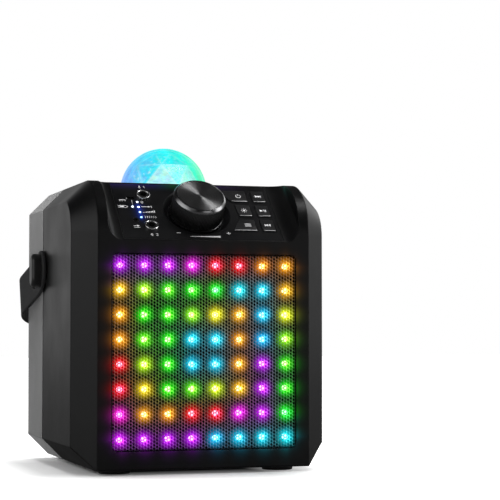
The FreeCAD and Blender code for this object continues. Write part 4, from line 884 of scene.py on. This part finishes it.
def lamp_glow(x, z):
    """Painted glow at the holes' corners: all lamps' halos in their colours, and paler cores, exp(-(r /
    reach)^2).

    A hole is brighter or dimmer by a scattered share, as if each caught the light differently.
    """
    sparkle = 1 + GLOW_SPARKLE * (2 * scattered(np.arange(x.size) // 6) - 1)
    away = np.hypot(x.reshape(-1, 1, 1) - LAMP_X, z.reshape(-1, 1, 1) - LAMP_Z[:, None]) / MM
    halos = np.einsum("nrc,rck->nk", halo(away), LAMP_COLOURS)
    middles = np.exp(-(away / CORE_REACH) ** 2)
    cores = np.einsum("nrc,rck->nk", middles, CORE_TINT * LAMP_CORES + CORE_WHITE)
    return (halos + cores) * sparkle[:, None]


def perforated_grille():
    """The grille's sheet with hexagon holes in staggered, upright rows, thickened.

    A hole's centre is (place + half a step in odd rows) x pitch along its row, and the rows lie
    pitch x sqrt(3) / 2 apart. Its corner k lies at 30 + 60 k degrees from upright. Strands join the facing
    edges of neighbours, and triangles fill the junctions between three of them.
    """
    width = (GRILLE_HIGH.x - GRILLE_LOW.x) / MM - 2 * (GRILLE_LAP - HOLE_OVERLAP)
    height = (GRILLE_HIGH.z - GRILLE_LOW.z) / MM - 2 * (GRILLE_LAP - HOLE_OVERLAP)
    row_pitch = HOLE_PITCH * math.sqrt(0.75)
    rows, columns = int(width / row_pitch), int(height / HOLE_PITCH)
    row, column = np.mgrid[0:rows, 0:columns]
    centre_along = (column - (columns - 1) / 2 + 0.5 * (row % 2) - 0.25) * HOLE_PITCH
    centre_aside = (row - (rows - 1) / 2) * row_pitch
    angle = np.radians(30 + 60 * np.arange(6))
    radius = (HOLE_PITCH - HOLE_WEB) / math.sqrt(3)
    x = -(centre_aside[..., None] + radius * np.sin(angle)) * MM
    z = (centre_along[..., None] + radius * np.cos(angle)) * MM + (GRILLE_LOW.z + GRILLE_HIGH.z) / 2

    def corner(step_up, step_right, number):
        return ((row + step_up) * columns + column + step_right) * 6 + number

    right = row % 2
    left = right - 1
    has_east = column < columns - 1
    has_up = row < rows - 1
    has_north_east = has_up & (column + right < columns)
    has_north_west = has_up & (column + left >= 0)
    shapes = [
        (has_east, (0, 0, 5), (0, 1, 3), (0, 1, 2), (0, 0, 0)),
        (has_north_east, (0, 0, 0), (1, right, 4), (1, right, 3), (0, 0, 1)),
        (has_north_west, (0, 0, 1), (1, left, 5), (1, left, 4), (0, 0, 2)),
        (has_east & has_north_east, (0, 0, 0), (0, 1, 2), (1, right, 4)),
        (has_north_east & has_north_west, (0, 0, 1), (1, right, 3), (1, left, 5)),
    ]
    faces, strand_shares = [], []
    # Each kind of strand gets its share of painted highlight or shade
    for (present, *corners), tone in zip(shapes, STRAND_PAINTED_LIGHT):
        faces += np.stack([corner(*place) for place in corners], axis=-1)[present].tolist()
        strand_shares.append(np.full(np.count_nonzero(present), tone, np.float32))
    sheet = piece("perforated_grille", joined(x, GRILLE_LOW.y, z), faces, "grille", "cabinet")
    paint_points(sheet, "lamp_glow", lamp_glow(x, z))
    strand_light_layer = sheet.data.attributes.new("painted_strand_light", "FLOAT", "FACE")
    strand_light_layer.data.foreach_set("value", np.concatenate(strand_shares))
    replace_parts(thicken(sheet, SHEET_THICKNESS), "grille")


def at_lamps(name, profile, around, finish, lamp_colours, brightness):
    """Small turned forms repeated at each lamp, open at the foot and glowing with the lamp's colour.

    A profile point is a radius and a height above the board; brightness gives each ring its share of the
    lamp's colour and of white. Lamps are counted row by row from the top.
    """
    radius, height = np.array(profile, float).T[:, :, None] * MM
    angle = 2 * np.pi * np.arange(around)[None] / around
    form = joined(radius * np.cos(angle), -height, radius * np.sin(angle))
    x, z = np.meshgrid(LAMP_X, LAMP_Z)
    feet = joined(x, LAMPS_HIGH.y, z).reshape(-1, 1, 1, 3)
    quads = grid_quads(len(profile), around)
    if profile[0][0] < profile[-1][0]:
        quads = quads[:, ::-1]
    faces = np.arange(LAMP_COUNT ** 2)[:, None, None] * len(profile) * around + quads
    made = piece(name, feet + form, faces.reshape(-1, 4).tolist(), finish, "cabinet", crease=60.0)
    tint, white = np.array(brightness, float).T[:, None, :, None]
    colours = lamp_colours.reshape(-1, 1, 3) * tint + white
    paint_points(made, "lamp_glow", np.repeat(colours.reshape(-1, 3), around, axis=0))
    return made


def lamps():
    """Domed lamps, each in a shallow bowl whose painted glow spreads its light."""
    half = LAMP_SIZE / 2
    top = (LAMPS_HIGH.y - LAMPS_LOW.y) / MM
    rise = np.radians(np.linspace(0, 86, 5))
    dome = [(half, 0.0)] + [(half * math.cos(turn), top - half + half * math.sin(turn)) for turn in rise]
    lamp = at_lamps("lamp_domes", dome, 12, "lamp", LAMP_CORES, [LAMP_BRIGHT] * len(dome))
    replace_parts(lamp, "lamps")
    radius = np.linspace(half + CUP_GAP, CUP_RADIUS, 9)
    bowl = list(zip(radius, CUP_FOOT + CUP_DEPTH * (radius / CUP_RADIUS) ** 2))
    fade = [(CUP_GLOW * halo(out) * (1 - (out / CUP_RADIUS) ** 4), 0.0) for out in radius]
    thicken(at_lamps("lamp_cups", bowl, 20, "cup", LAMP_COLOURS, fade), CUP_WALL)


# Knob
def knob():
    """Base ring, fluted skirt, bevelled rim and spun face, each turned about the knob's axis."""
    low, high = panel_extent("volume_knob")
    foot, top, base = low[2], high[2], high[0]
    ring_top, rim_foot = foot + KNOB_RING_HEIGHT, top - KNOB_BEVEL
    side, face = KNOB_SIDE, KNOB_FACE_RADIUS
    ring_profile = [
        (side - 4, foot), (base - 0.4, foot), (base, foot + 0.4), (base, ring_top - 0.7),
        (base - 0.25, ring_top - 0.2), (base - 0.8, ring_top), (side - 1.2, ring_top),
    ]
    skirt_profile = [
        (side - 0.6, ring_top - 0.3), (side - 0.5, ring_top + 0.5), (side, ring_top + 1.0),
        (side, rim_foot - 0.8), (side - 0.45, rim_foot - 0.3), (side - 0.7, rim_foot),
    ]
    rim_profile = [
        (side - 0.8, rim_foot - 0.4), (side - 0.1, rim_foot - 0.2), (side, rim_foot + 0.1),
        (side - 0.15, rim_foot + 0.55), (side - 0.55, rim_foot + 1.2), (side - 1.3, top - 1.35),
        (side - 2.0, top - 0.55), (side - 2.4, top - 0.15), (side - 2.7, top), (face + 0.4, top),
        (face + 0.15, top - 0.25), (face + 0.15, top - 1.1),
    ]
    ring_rings = turned(ring_profile, 96)
    skirt_rings = turned(skirt_profile, 8 * KNOB_FLUTES, ripple=FLUTE_DEPTH, ripples=KNOB_FLUTES)
    rim_rings = turned(rim_profile, 128)
    ring = lofted("knob_base_ring", ring_rings, "knob_ring", "volume_knob")
    skirt = lofted("knob_skirt", skirt_rings, "knob_skirt", "volume_knob", crease=60.0)
    rim = lofted("knob_rim", rim_rings, "knob_rim", "volume_knob", crease=50.0)
    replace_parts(ring, "volume_knob")
    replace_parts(skirt, "volume_knob")
    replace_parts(rim, "volume_knob")
    spun_face(top - KNOB_FACE_SUNK)


def spun_face(height, around=128, steps=24):
    """The knob's face: rings that shrink over a shallow dish, with a map of turn and radius for the spin."""
    radius = np.linspace(0.3, KNOB_FACE_RADIUS, steps)[::-1]
    dish = height - KNOB_FACE_DISH * (1 - (radius / KNOB_FACE_RADIUS) ** 2)
    profile = [(KNOB_FACE_RADIUS, height - 1.0), *zip(radius, dish)]
    rings = turned(profile, around)
    face = lofted("knob_face", rings, "knob_face", "volume_knob", crease=30.0)
    grid = np.arange(len(profile) - 1), np.arange(around), np.arange(4)
    row, column, number = np.meshgrid(*grid, indexing="ij")
    turn = (column + np.isin(number, (1, 2))) / around
    out = np.array(profile)[row + np.isin(number, (2, 3)), 0] / KNOB_FACE_RADIUS
    spin = np.zeros((len(face.data.loops), 2))
    spin[:turn.size] = joined(turn, out).reshape(-1, 2)
    face.data.uv_layers.new(name="spin").data.foreach_set("uv", spin.astype(np.float32).ravel())
    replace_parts(face, "knob_cap")


# Printed marks and the keys' painted highlights, as strokes of (path, width) on the panel
def printed(name, strokes, height, body):
    """Ribbons of ink: each path is widened square to its own direction by half the stroke's width."""
    points, faces, first = [], [], 0
    for path, width in strokes:
        run = np.gradient(path, axis=0)
        run /= np.linalg.norm(run, axis=1, keepdims=True)
        half = np.broadcast_to(width, len(path))[:, None] / 2
        aside = joined(-run[:, 1], run[:, 0]) * half
        ribbon = np.stack([path - aside, path + aside])
        points.append(on_panel(ribbon[..., 0], ribbon[..., 1], height).reshape(-1, 3))
        faces += (grid_quads(2, len(path), wrap=False) + first).tolist()
        first += 2 * len(path)
    mark = piece(name, np.concatenate(points), faces, "ink", body)
    thicken(mark, INK_HEIGHT)


def bar(width, *points):
    """A stroke of one width through points."""
    return np.array(points, float), width


def wedge(start, end, widths, steps=2):
    """A straight stroke whose width changes from one end to the other: a filled triangle or wedge."""
    return np.linspace(start, end, steps), np.linspace(*widths, steps)


def mic_icon(x, up):
    """A microphone sign: a filled capsule, the cradle under it and a stem on its foot."""
    return [
        bar(1.0, (x, up - 0.1), (x, up + 1.6)), (arc(x, up + 0.2, 1.1, 180, 360), 0.28),
        bar(0.3, (x, up - 0.9), (x, up - 1.6)), bar(0.3, (x - 0.8, up - 1.6), (x + 0.8, up - 1.6)),
    ]


def numeral(number, x, up, width=0.42):
    """The number 1 or 2."""
    if number == 1:
        return [bar(width, (x - 0.7, up + 0.9), (x, up + 1.5), (x, up - 1.5))]
    curl = np.concatenate([arc(x, up + 0.65, 0.85, 165, -35, 12), [(x - 0.9, up - 1.4)]])
    return [(curl, width), bar(width, (x - 1.0, up - 1.4), (x + 1.0, up - 1.4))]


def panel_marks():
    """Generic signs beside the sockets, lights and knob."""
    signs = mic_icon(-47.2, 34.4) + numeral(1, -42.8, 34.4)
    signs += mic_icon(-47.6, -33.0) + numeral(2, -43.0, -33.0)
    signs += [bar(width, (x, up), (end_x, end_up)) for width, x, up, end_x, end_up in PANEL_BARS]
    # Beside the lights: waves, an arrow's head, a rising scale and fading waves
    signs += [(arc(-51.0, 12.5, size, -45, 45, 8), 0.4) for size in (1.0, 2.1, 3.2)]
    signs.append(wedge((-44.4, 5.8), (-42.2, 5.8), ARROW))
    for step in range(8):
        x = -50.0 + 1.5 * step
        signs.append(bar(0.75, (x, -2.7), (x, -2.1 + 0.36 * step)))
    signs += [(arc(-50.8 + 1.9 * step, -8.7, 1.8, -50, 50, 8), 0.5 - 0.05 * step) for step in range(6)]
    # A battery's outline, the line socket's arrow head and the swelling line under the knob
    signs.append(bar(0.4, (-71.6, 4.1), (-64.0, 4.1), (-64.0, 7.0), (-71.6, 7.0), (-71.6, 4.1)))
    signs.append(wedge((-58.9, -21.4), (-56.9, -21.4), ARROW))
    signs.append(wedge((-13.0, -34.8), (15.3, -34.6), (0.25, 2.3), 12))
    printed("panel_marks", signs, INK_HEIGHT, "cabinet")


# Keys
def key_cap(node, low, high, inner):
    """A key: rounded rectangles drawn in towards the top, bent to follow the arc about the knob on its left.

    A point's share of the width runs from the left edge, sqrt(arc^2 - up^2) or straight, to the right edge.
    """
    half_wide, half_up = (high[:2] - low[:2]) / 2
    steps = [(0.0, -KEY_DEPTH), (0.0, KEY_PROUD - KEY_EDGE)]
    steps += [
        (KEY_EDGE * (1 - math.cos(turn)), KEY_PROUD - KEY_EDGE * (1 - math.sin(turn)))
        for turn in np.radians(np.linspace(18, 90, 5))
    ]
    rings = []
    for inset, height in steps:
        corner = max(KEY_CORNER - inset, KEY_LEAST_CORNER)
        outline = rounded_outline(half_wide - inset, half_up - inset, corner)
        up = (low[1] + high[1]) / 2 + outline[:, 1]
        left = np.full_like(up, low[0])
        if inner:
            left = np.maximum(left, np.sqrt(KEY_ARC ** 2 - np.clip(up, None, KEY_ARC - 1) ** 2))
        share = (outline[:, 0] + half_wide) / (2 * half_wide)
        rings.append(on_panel(left + share * (high[0] - left), up, height))
    key = lofted(node + "_cap", np.stack(rings), "key", node, crease=40.0)
    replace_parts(key, node)


def key_sign(node, x, up):
    """The sign on a key: power, light, list, next, previous, or play and pause."""

    def post(side):
        return bar(0.7, (x + side, up - 1.6), (x + side, up + 1.6))

    def triangle(start, end):
        return wedge((x + start, up), (x + end, up), TRIANGLE)

    if node == "power_button":
        return [(arc(x, up, 2.3, 120, 420, 28), 0.6), bar(0.6, (x, up + 0.4), (x, up + 2.9))]
    if node == "light_button":
        rays = zip(*(arc(x, up, size, 0, 315, 8) for size in (1.9, 2.9)))
        return [bar(0.5, *ray) for ray in rays] + [bar(2.0, (x - 1.0, up), (x + 1.0, up))]
    if node == "mode_button":
        return [bar(0.6, (x - 3.0, up + step), (x + 3.0, up + step)) for step in (-1.6, 0.0, 1.6)]
    if node == "next_button":
        return [triangle(-2.6, -0.1), triangle(-0.1, 2.3), post(2.6)]
    if node == "previous_button":
        return [triangle(2.6, 0.1), triangle(0.1, -2.3), post(-2.6)]
    return [triangle(-2.8, 0.2), post(1.4), post(2.8)]


def keys():
    """The keys with their signs, and a painted highlight along the foot of each that ends in a painted glint.
    """
    for node in KEYS:
        low, high = panel_extent(node)
        low, high = low + KEY_FLANGE, high - KEY_FLANGE
        inner = high[0] < KEY_COLUMN_EDGE
        key_cap(node, low, high, inner)
        foot = low[1] + KEY_HIGHLIGHT_UP
        left, sign_left = low[0], low[0]
        if inner:
            left = max(left, math.sqrt(max(KEY_ARC ** 2 - foot ** 2, 0.0)))
            sign_left = max(left, KEY_ARC * KEY_SIGN_SHARE)
        strokes = key_sign(node, (sign_left + high[0]) / 2, (low[1] + high[1]) / 2)
        # Painted highlight along the key's lower edge, widening to the right, and a painted glint at its
        # right end
        highlight_start, highlight_end = left + KEY_HIGHLIGHT_INSET[0], high[0] - KEY_HIGHLIGHT_INSET[1]
        strokes.append(wedge((highlight_start, foot), (highlight_end, foot), KEY_HIGHLIGHT_WIDTHS, 6))
        strokes.append(bar(KEY_GLINT_WIDTH, *((high[0] - inset, foot) for inset in KEY_GLINT_INSET)))
        printed(node + "_marks", strokes, KEY_PROUD + INK_HEIGHT, node)


# Sockets
def mic_nut(node):
    """A chrome ring nut: a rounded outer edge, a wide inner slope and a bore."""
    low, high = panel_extent(node)
    centre, radius = (low[:2] + high[:2]) / 2, (high[0] - low[0]) / 2
    foot, top = low[2], high[2]
    edge = [
        (radius + NUT_ROUND * (math.cos(turn) - 1), top + NUT_EDGE * (math.sin(turn) - 1))
        for turn in np.radians(np.linspace(0, 90, 9))
    ]
    lip = (radius - NUT_LIP[0], top - NUT_LIP[1])
    slope = [(out, top - depth) for out, depth in NUT_SLOPE]
    sunk = foot - NUT_SUNK
    bore = [(NUT_BORE, top - NUT_BORE_DEPTH), (NUT_BORE, sunk), (NUT_STEP, sunk), (NUT_STEP, foot)]
    rings = turned([(radius, foot), *edge, lip, *slope, *bore], 64, centre=centre)
    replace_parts(ringed(node + "_ring", rings, "chrome"), node)


# Light dome
def dome_cover():
    """The clear half ball: an outer quarter circle turned about Z, its flange and an inner quarter circle."""
    low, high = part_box("dome_cover")
    radius = (high.z - low.z) / MM
    inside, flange = radius - DOME_WALL, radius + DOME_FLANGE_WIDTH
    rise = np.radians(np.linspace(3, 89.5, 40))
    outer = [(radius * math.cos(turn), radius * math.sin(turn)) for turn in rise]
    inner = [(inside * math.cos(turn), inside * math.sin(turn)) for turn in rise[::-1]]
    profile = [(inside, 0.0), (flange, 0.0), (flange, DOME_FLANGE_HEIGHT), (radius, DOME_FLANGE_HEIGHT)]
    rings = turned(profile + outer[1:] + inner[:-1], 128, on_dome)
    cover = ringed("dome_clear", rings, "cover")
    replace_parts(cover, "dome_cover")


def cut_lens():
    """The faceted lens: triangles between a base ring, a belt ring, a crown ring and the top point.

    A ring at an angle has radius R cos(angle) and lies (R - foot) sin(angle) above the foot; the belt is
    turned half a step. A facet's hue follows its place across the dome. It is paler low down and near the
    middle, and its brightness and its place drift by a scattered share.
    """
    low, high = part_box("lens")
    radius = (high.x - low.x) / 2 / MM
    foot = DOME_FLANGE_HEIGHT
    turns = 2 * np.pi * np.arange(LENS_SIDES) / LENS_SIDES

    def ring(angle, half_steps):
        shift = math.radians(LENS_TURN) + half_steps * np.pi / LENS_SIDES
        flat, rise = radius * math.cos(math.radians(angle)), math.sin(math.radians(angle))
        height = foot + (radius - foot) * rise
        return joined(flat * np.cos(turns + shift), flat * np.sin(turns + shift), height)

    base, belt, crown = ring(0, 1), ring(LENS_BELT_ANGLE, 2), ring(LENS_CROWN_ANGLE, 1)
    top, bottom = (np.array([[0, 0, height]]).repeat(LENS_SIDES, 0) for height in (radius, foot))
    next_base, next_crown = np.roll(base, -1, axis=0), np.roll(crown, -1, axis=0)
    last_belt = np.roll(belt, 1, axis=0)
    facets = [
        (base, next_base, belt), (base, belt, last_belt), (last_belt, belt, crown),
        (belt, next_crown, crown), (crown, next_crown, top), (next_base, base, bottom),
    ]
    triangles = np.concatenate([np.stack(three, axis=1) for three in facets])
    count = len(triangles)
    points = on_dome(*triangles.reshape(-1, 3).T)
    faces = np.arange(3 * count).reshape(-1, 3).tolist()
    lens = piece("cut_lens", points, faces, "lens", "lens", crease=1.0)
    wild = scattered(np.arange(count), 4.1)
    across, rise = triangles[..., 0] / radius, triangles[..., 2] / radius
    middle = across.mean(axis=1)
    own_place = middle + LENS_DRIFT * (wild - 0.5)
    hue = np.interp(0.5 * across + 0.5 * own_place[:, None], LENS_PLACES, LENS_HUES)
    pale = PALE_FOOT - PALE_RISE * rise.mean(axis=1) - PALE_ASIDE * np.abs(middle - PALE_MIDDLE)
    pale = np.clip(pale, 0.0, PALE_MOST)
    pale *= (0.75 + 0.4 * wild) * np.repeat(LENS_PALE, LENS_SIDES)
    colour = hue_colour(hue, np.clip(0.98 - pale, 0.12, 1.0)[:, None, None])
    light = colour * (0.84 + 0.2 * wild + 0.25 * pale)[:, None, None]
    paint_points(lens, "facet_light", light.reshape(-1, 3))
    paint_points(lens, "facet_corner", np.tile(np.eye(3), (count, 1)))
    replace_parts(lens, "lens")


# Strap
def strap_line(length):
    """Half of the strap's middle line: distance across and reach behind the hinge, for a length along it.

    Straight past the lug, an arc outwards by the splay angle, a straight splayed run, one arc round the
    corner and a straight back. The half's own length comes third.
    """
    splay = math.radians(STRAP_SPLAY)
    bend_x, bend_y = STRAP_BEND * (1 - math.cos(splay)), STRAP_STRAIGHT + STRAP_BEND * math.sin(splay)
    run = (STRAP_ARM - bend_y) / math.cos(splay)
    radius = (STRAP_REACH - STRAP_ARM) / (1 + math.sin(splay))
    run_x = bend_x + run * math.sin(splay)
    hub_x, hub_y = run_x - radius * math.cos(splay), STRAP_ARM + radius * math.sin(splay)
    ends = np.cumsum([STRAP_STRAIGHT, STRAP_BEND * splay, run, radius * (math.pi / 2 + splay)])
    turn = (length - ends[0]) / STRAP_BEND
    on_run = length - ends[1]
    corner = (length - ends[2]) / radius - splay
    stretches = [length < end for end in ends]
    x = np.select(stretches, [
        np.zeros_like(length), STRAP_BEND * (1 - np.cos(turn)), bend_x + on_run * math.sin(splay),
        hub_x + radius * np.cos(corner),
    ], hub_x - (length - ends[3]))
    reach = np.select(stretches, [
        length, STRAP_STRAIGHT + STRAP_BEND * np.sin(turn), bend_y + on_run * math.cos(splay),
        hub_y + radius * np.sin(corner),
    ], STRAP_REACH)
    return STRAP_MIDDLE + x, reach, ends[3] + STRAP_MIDDLE + hub_x


def on_strap(length, aside):
    """Row points of the strap's middle sheet: lengths from the left hinge, and distances across its width."""
    half = strap_line(np.zeros(1))[2]
    side = np.where(length > half, 1.0, -1.0)
    across, reach, _ = strap_line(np.where(length > half, 2 * half - length, length))
    droop = math.radians(STRAP_DROOP)
    back = reach * math.cos(droop) + aside * math.sin(droop)
    up = aside * math.cos(droop) - reach * math.sin(droop)
    return STRAP_HINGE + joined(side * across, back, up) * MM


def strap_end(around, steps=5):
    """Points of a strap's end as rings from the slot's edge to the outline.

    Both loops run through the same stretches: the round end, one long side, the far end and the other side.
    """
    half, slot = STRAP_WIDTH / 2, STRAP_SLOT / 2
    side = np.linspace(0, 1, around)[1:-1, None]

    def side_run(start, end):
        return np.array(start) + side * (np.array(end) - np.array(start))

    slot_loop = np.concatenate([
        arc(0, 0, slot, 90, 270, around), side_run((0, -slot), (STRAP_SLOT_TRAVEL, -slot)),
        arc(STRAP_SLOT_TRAVEL, 0, slot, -90, 90, around), side_run((STRAP_SLOT_TRAVEL, slot), (0, slot)),
    ])
    far_edge = joined(STRAP_CUT, half * np.linspace(-1, 1, around))
    outline = np.concatenate([
        arc(0, 0, half, 90, 270, around), side_run((0, -half), (STRAP_CUT, -half)),
        far_edge, side_run((STRAP_CUT, half), (0, half)),
    ])
    share = np.linspace(0, 1, steps)[:, None, None]
    return slot_loop * (1 - share) + outline * share


def carry_strap(around=20, along=160):
    """The strap's sheet: a slotted patch at each end and a plain grid between them, welded and thickened."""
    end = strap_end(around)
    whole = 2 * strap_line(np.zeros(1))[2]
    lengths = np.linspace(STRAP_CUT, whole - STRAP_CUT, along)
    length, aside = np.meshgrid(lengths, STRAP_WIDTH / 2 * np.linspace(-1, 1, around), indexing="ij")
    patches = [
        (on_strap(end[..., 0], end[..., 1]), True), (on_strap(whole - end[..., 0], end[..., 1]), True),
        (on_strap(length, aside), False),
    ]
    points, faces, first = [], [], 0
    for patch, wrap in patches:
        faces += (grid_quads(*patch.shape[:2], wrap) + first).tolist()
        points.append(patch.reshape(-1, 3))
        first += len(points[-1])
    strap = piece("strap_band", np.concatenate(points), faces, "strap", "carry_strap")
    weld(strap)
    soften(thicken(strap, STRAP_THICKNESS, 0.0), STRAP_SOFT_EDGE, 3)
    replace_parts(strap, "carry_strap")


# Studio
def floor(count=13):
    """A wide flat grid under the feet."""
    reach = np.linspace(-FLOOR_HALF, FLOOR_HALF, count)
    x, y = np.meshgrid(reach, reach)
    quads = grid_quads(count, count, wrap=False)
    ground = mesh_object("floor", joined(x, y, -FLOOR_DROP), quads.tolist(), "floor")


def surround():
    """White for the camera; reflections see a dim room with a few bright parts; a soft fill elsewhere."""
    world = bpy.data.worlds.new("studio")
    sky = Graph(world)
    rays = sky.rays()
    direction = sky.add("ShaderNodeTexCoord", {}).outputs["Generated"]
    mirrored = WORLD_ROUND
    for way, start, strength in WORLD_LOBES:
        facing = sky.vector("DOT_PRODUCT", direction, Vector(way).normalized())["Value"]
        lobe = sky.spread(facing, 0.0, strength, start, 1.0, interpolation_type="SMOOTHSTEP")
        mirrored = sky.plus(lobe, mirrored)
    clear = sky.most(rays["Is Camera Ray"], rays["Is Transmission Ray"])
    glossy = sky.times(rays["Is Glossy Ray"], mirrored)
    hidden = sky.minus(1.0, sky.most(clear, rays["Is Glossy Ray"]))
    background = sky.nodes["Background"].inputs
    sky.feed(background["Color"], WHITE)
    sky.feed(background["Strength"], sky.plus(sky.plus(clear, glossy), sky.times(hidden, WORLD_FILL)))
    bpy.context.scene.world = world


def aimed(name, data, place, target):
    """A light or camera at a place, turned to its target."""
    made = bpy.data.objects.new(name, data)
    made.location = place
    made.rotation_euler = (Vector(target) - Vector(place)).to_track_quat("-Z", "Y").to_euler()
    bpy.context.scene.collection.objects.link(made)
    return made


def lights():
    """Square area lights; one of them shows in reflections."""
    for name, place, target, side, power, mirrored in LIGHTS:
        lamp = bpy.data.lights.new(name, "AREA")
        lamp.shape = "SQUARE"
        lamp.size = side
        lamp.energy = power
        made = aimed(name, lamp, place, target)
        made.visible_camera = False
        made.visible_glossy = mirrored


def camera():
    """The photograph's viewpoint."""
    lens = bpy.data.cameras.new("photo_camera")
    lens.lens = CAMERA_LENS
    lens.sensor_width = CAMERA_SENSOR
    place, target = Vector(CAMERA_PLACE) * MM, Vector(CAMERA_TARGET) * MM
    bpy.context.scene.camera = aimed("photo_camera", lens, place, target)


finish_nodes()
perforated_grille()
lamps()
knob()
keys()
panel_marks()
mic_nut("mic_nut_1")
mic_nut("mic_nut_2")
dome_cover()
cut_lens()
carry_strap()
floor()
surround()
lights()
camera()
bpy.context.scene.view_settings.view_transform = "Standard"
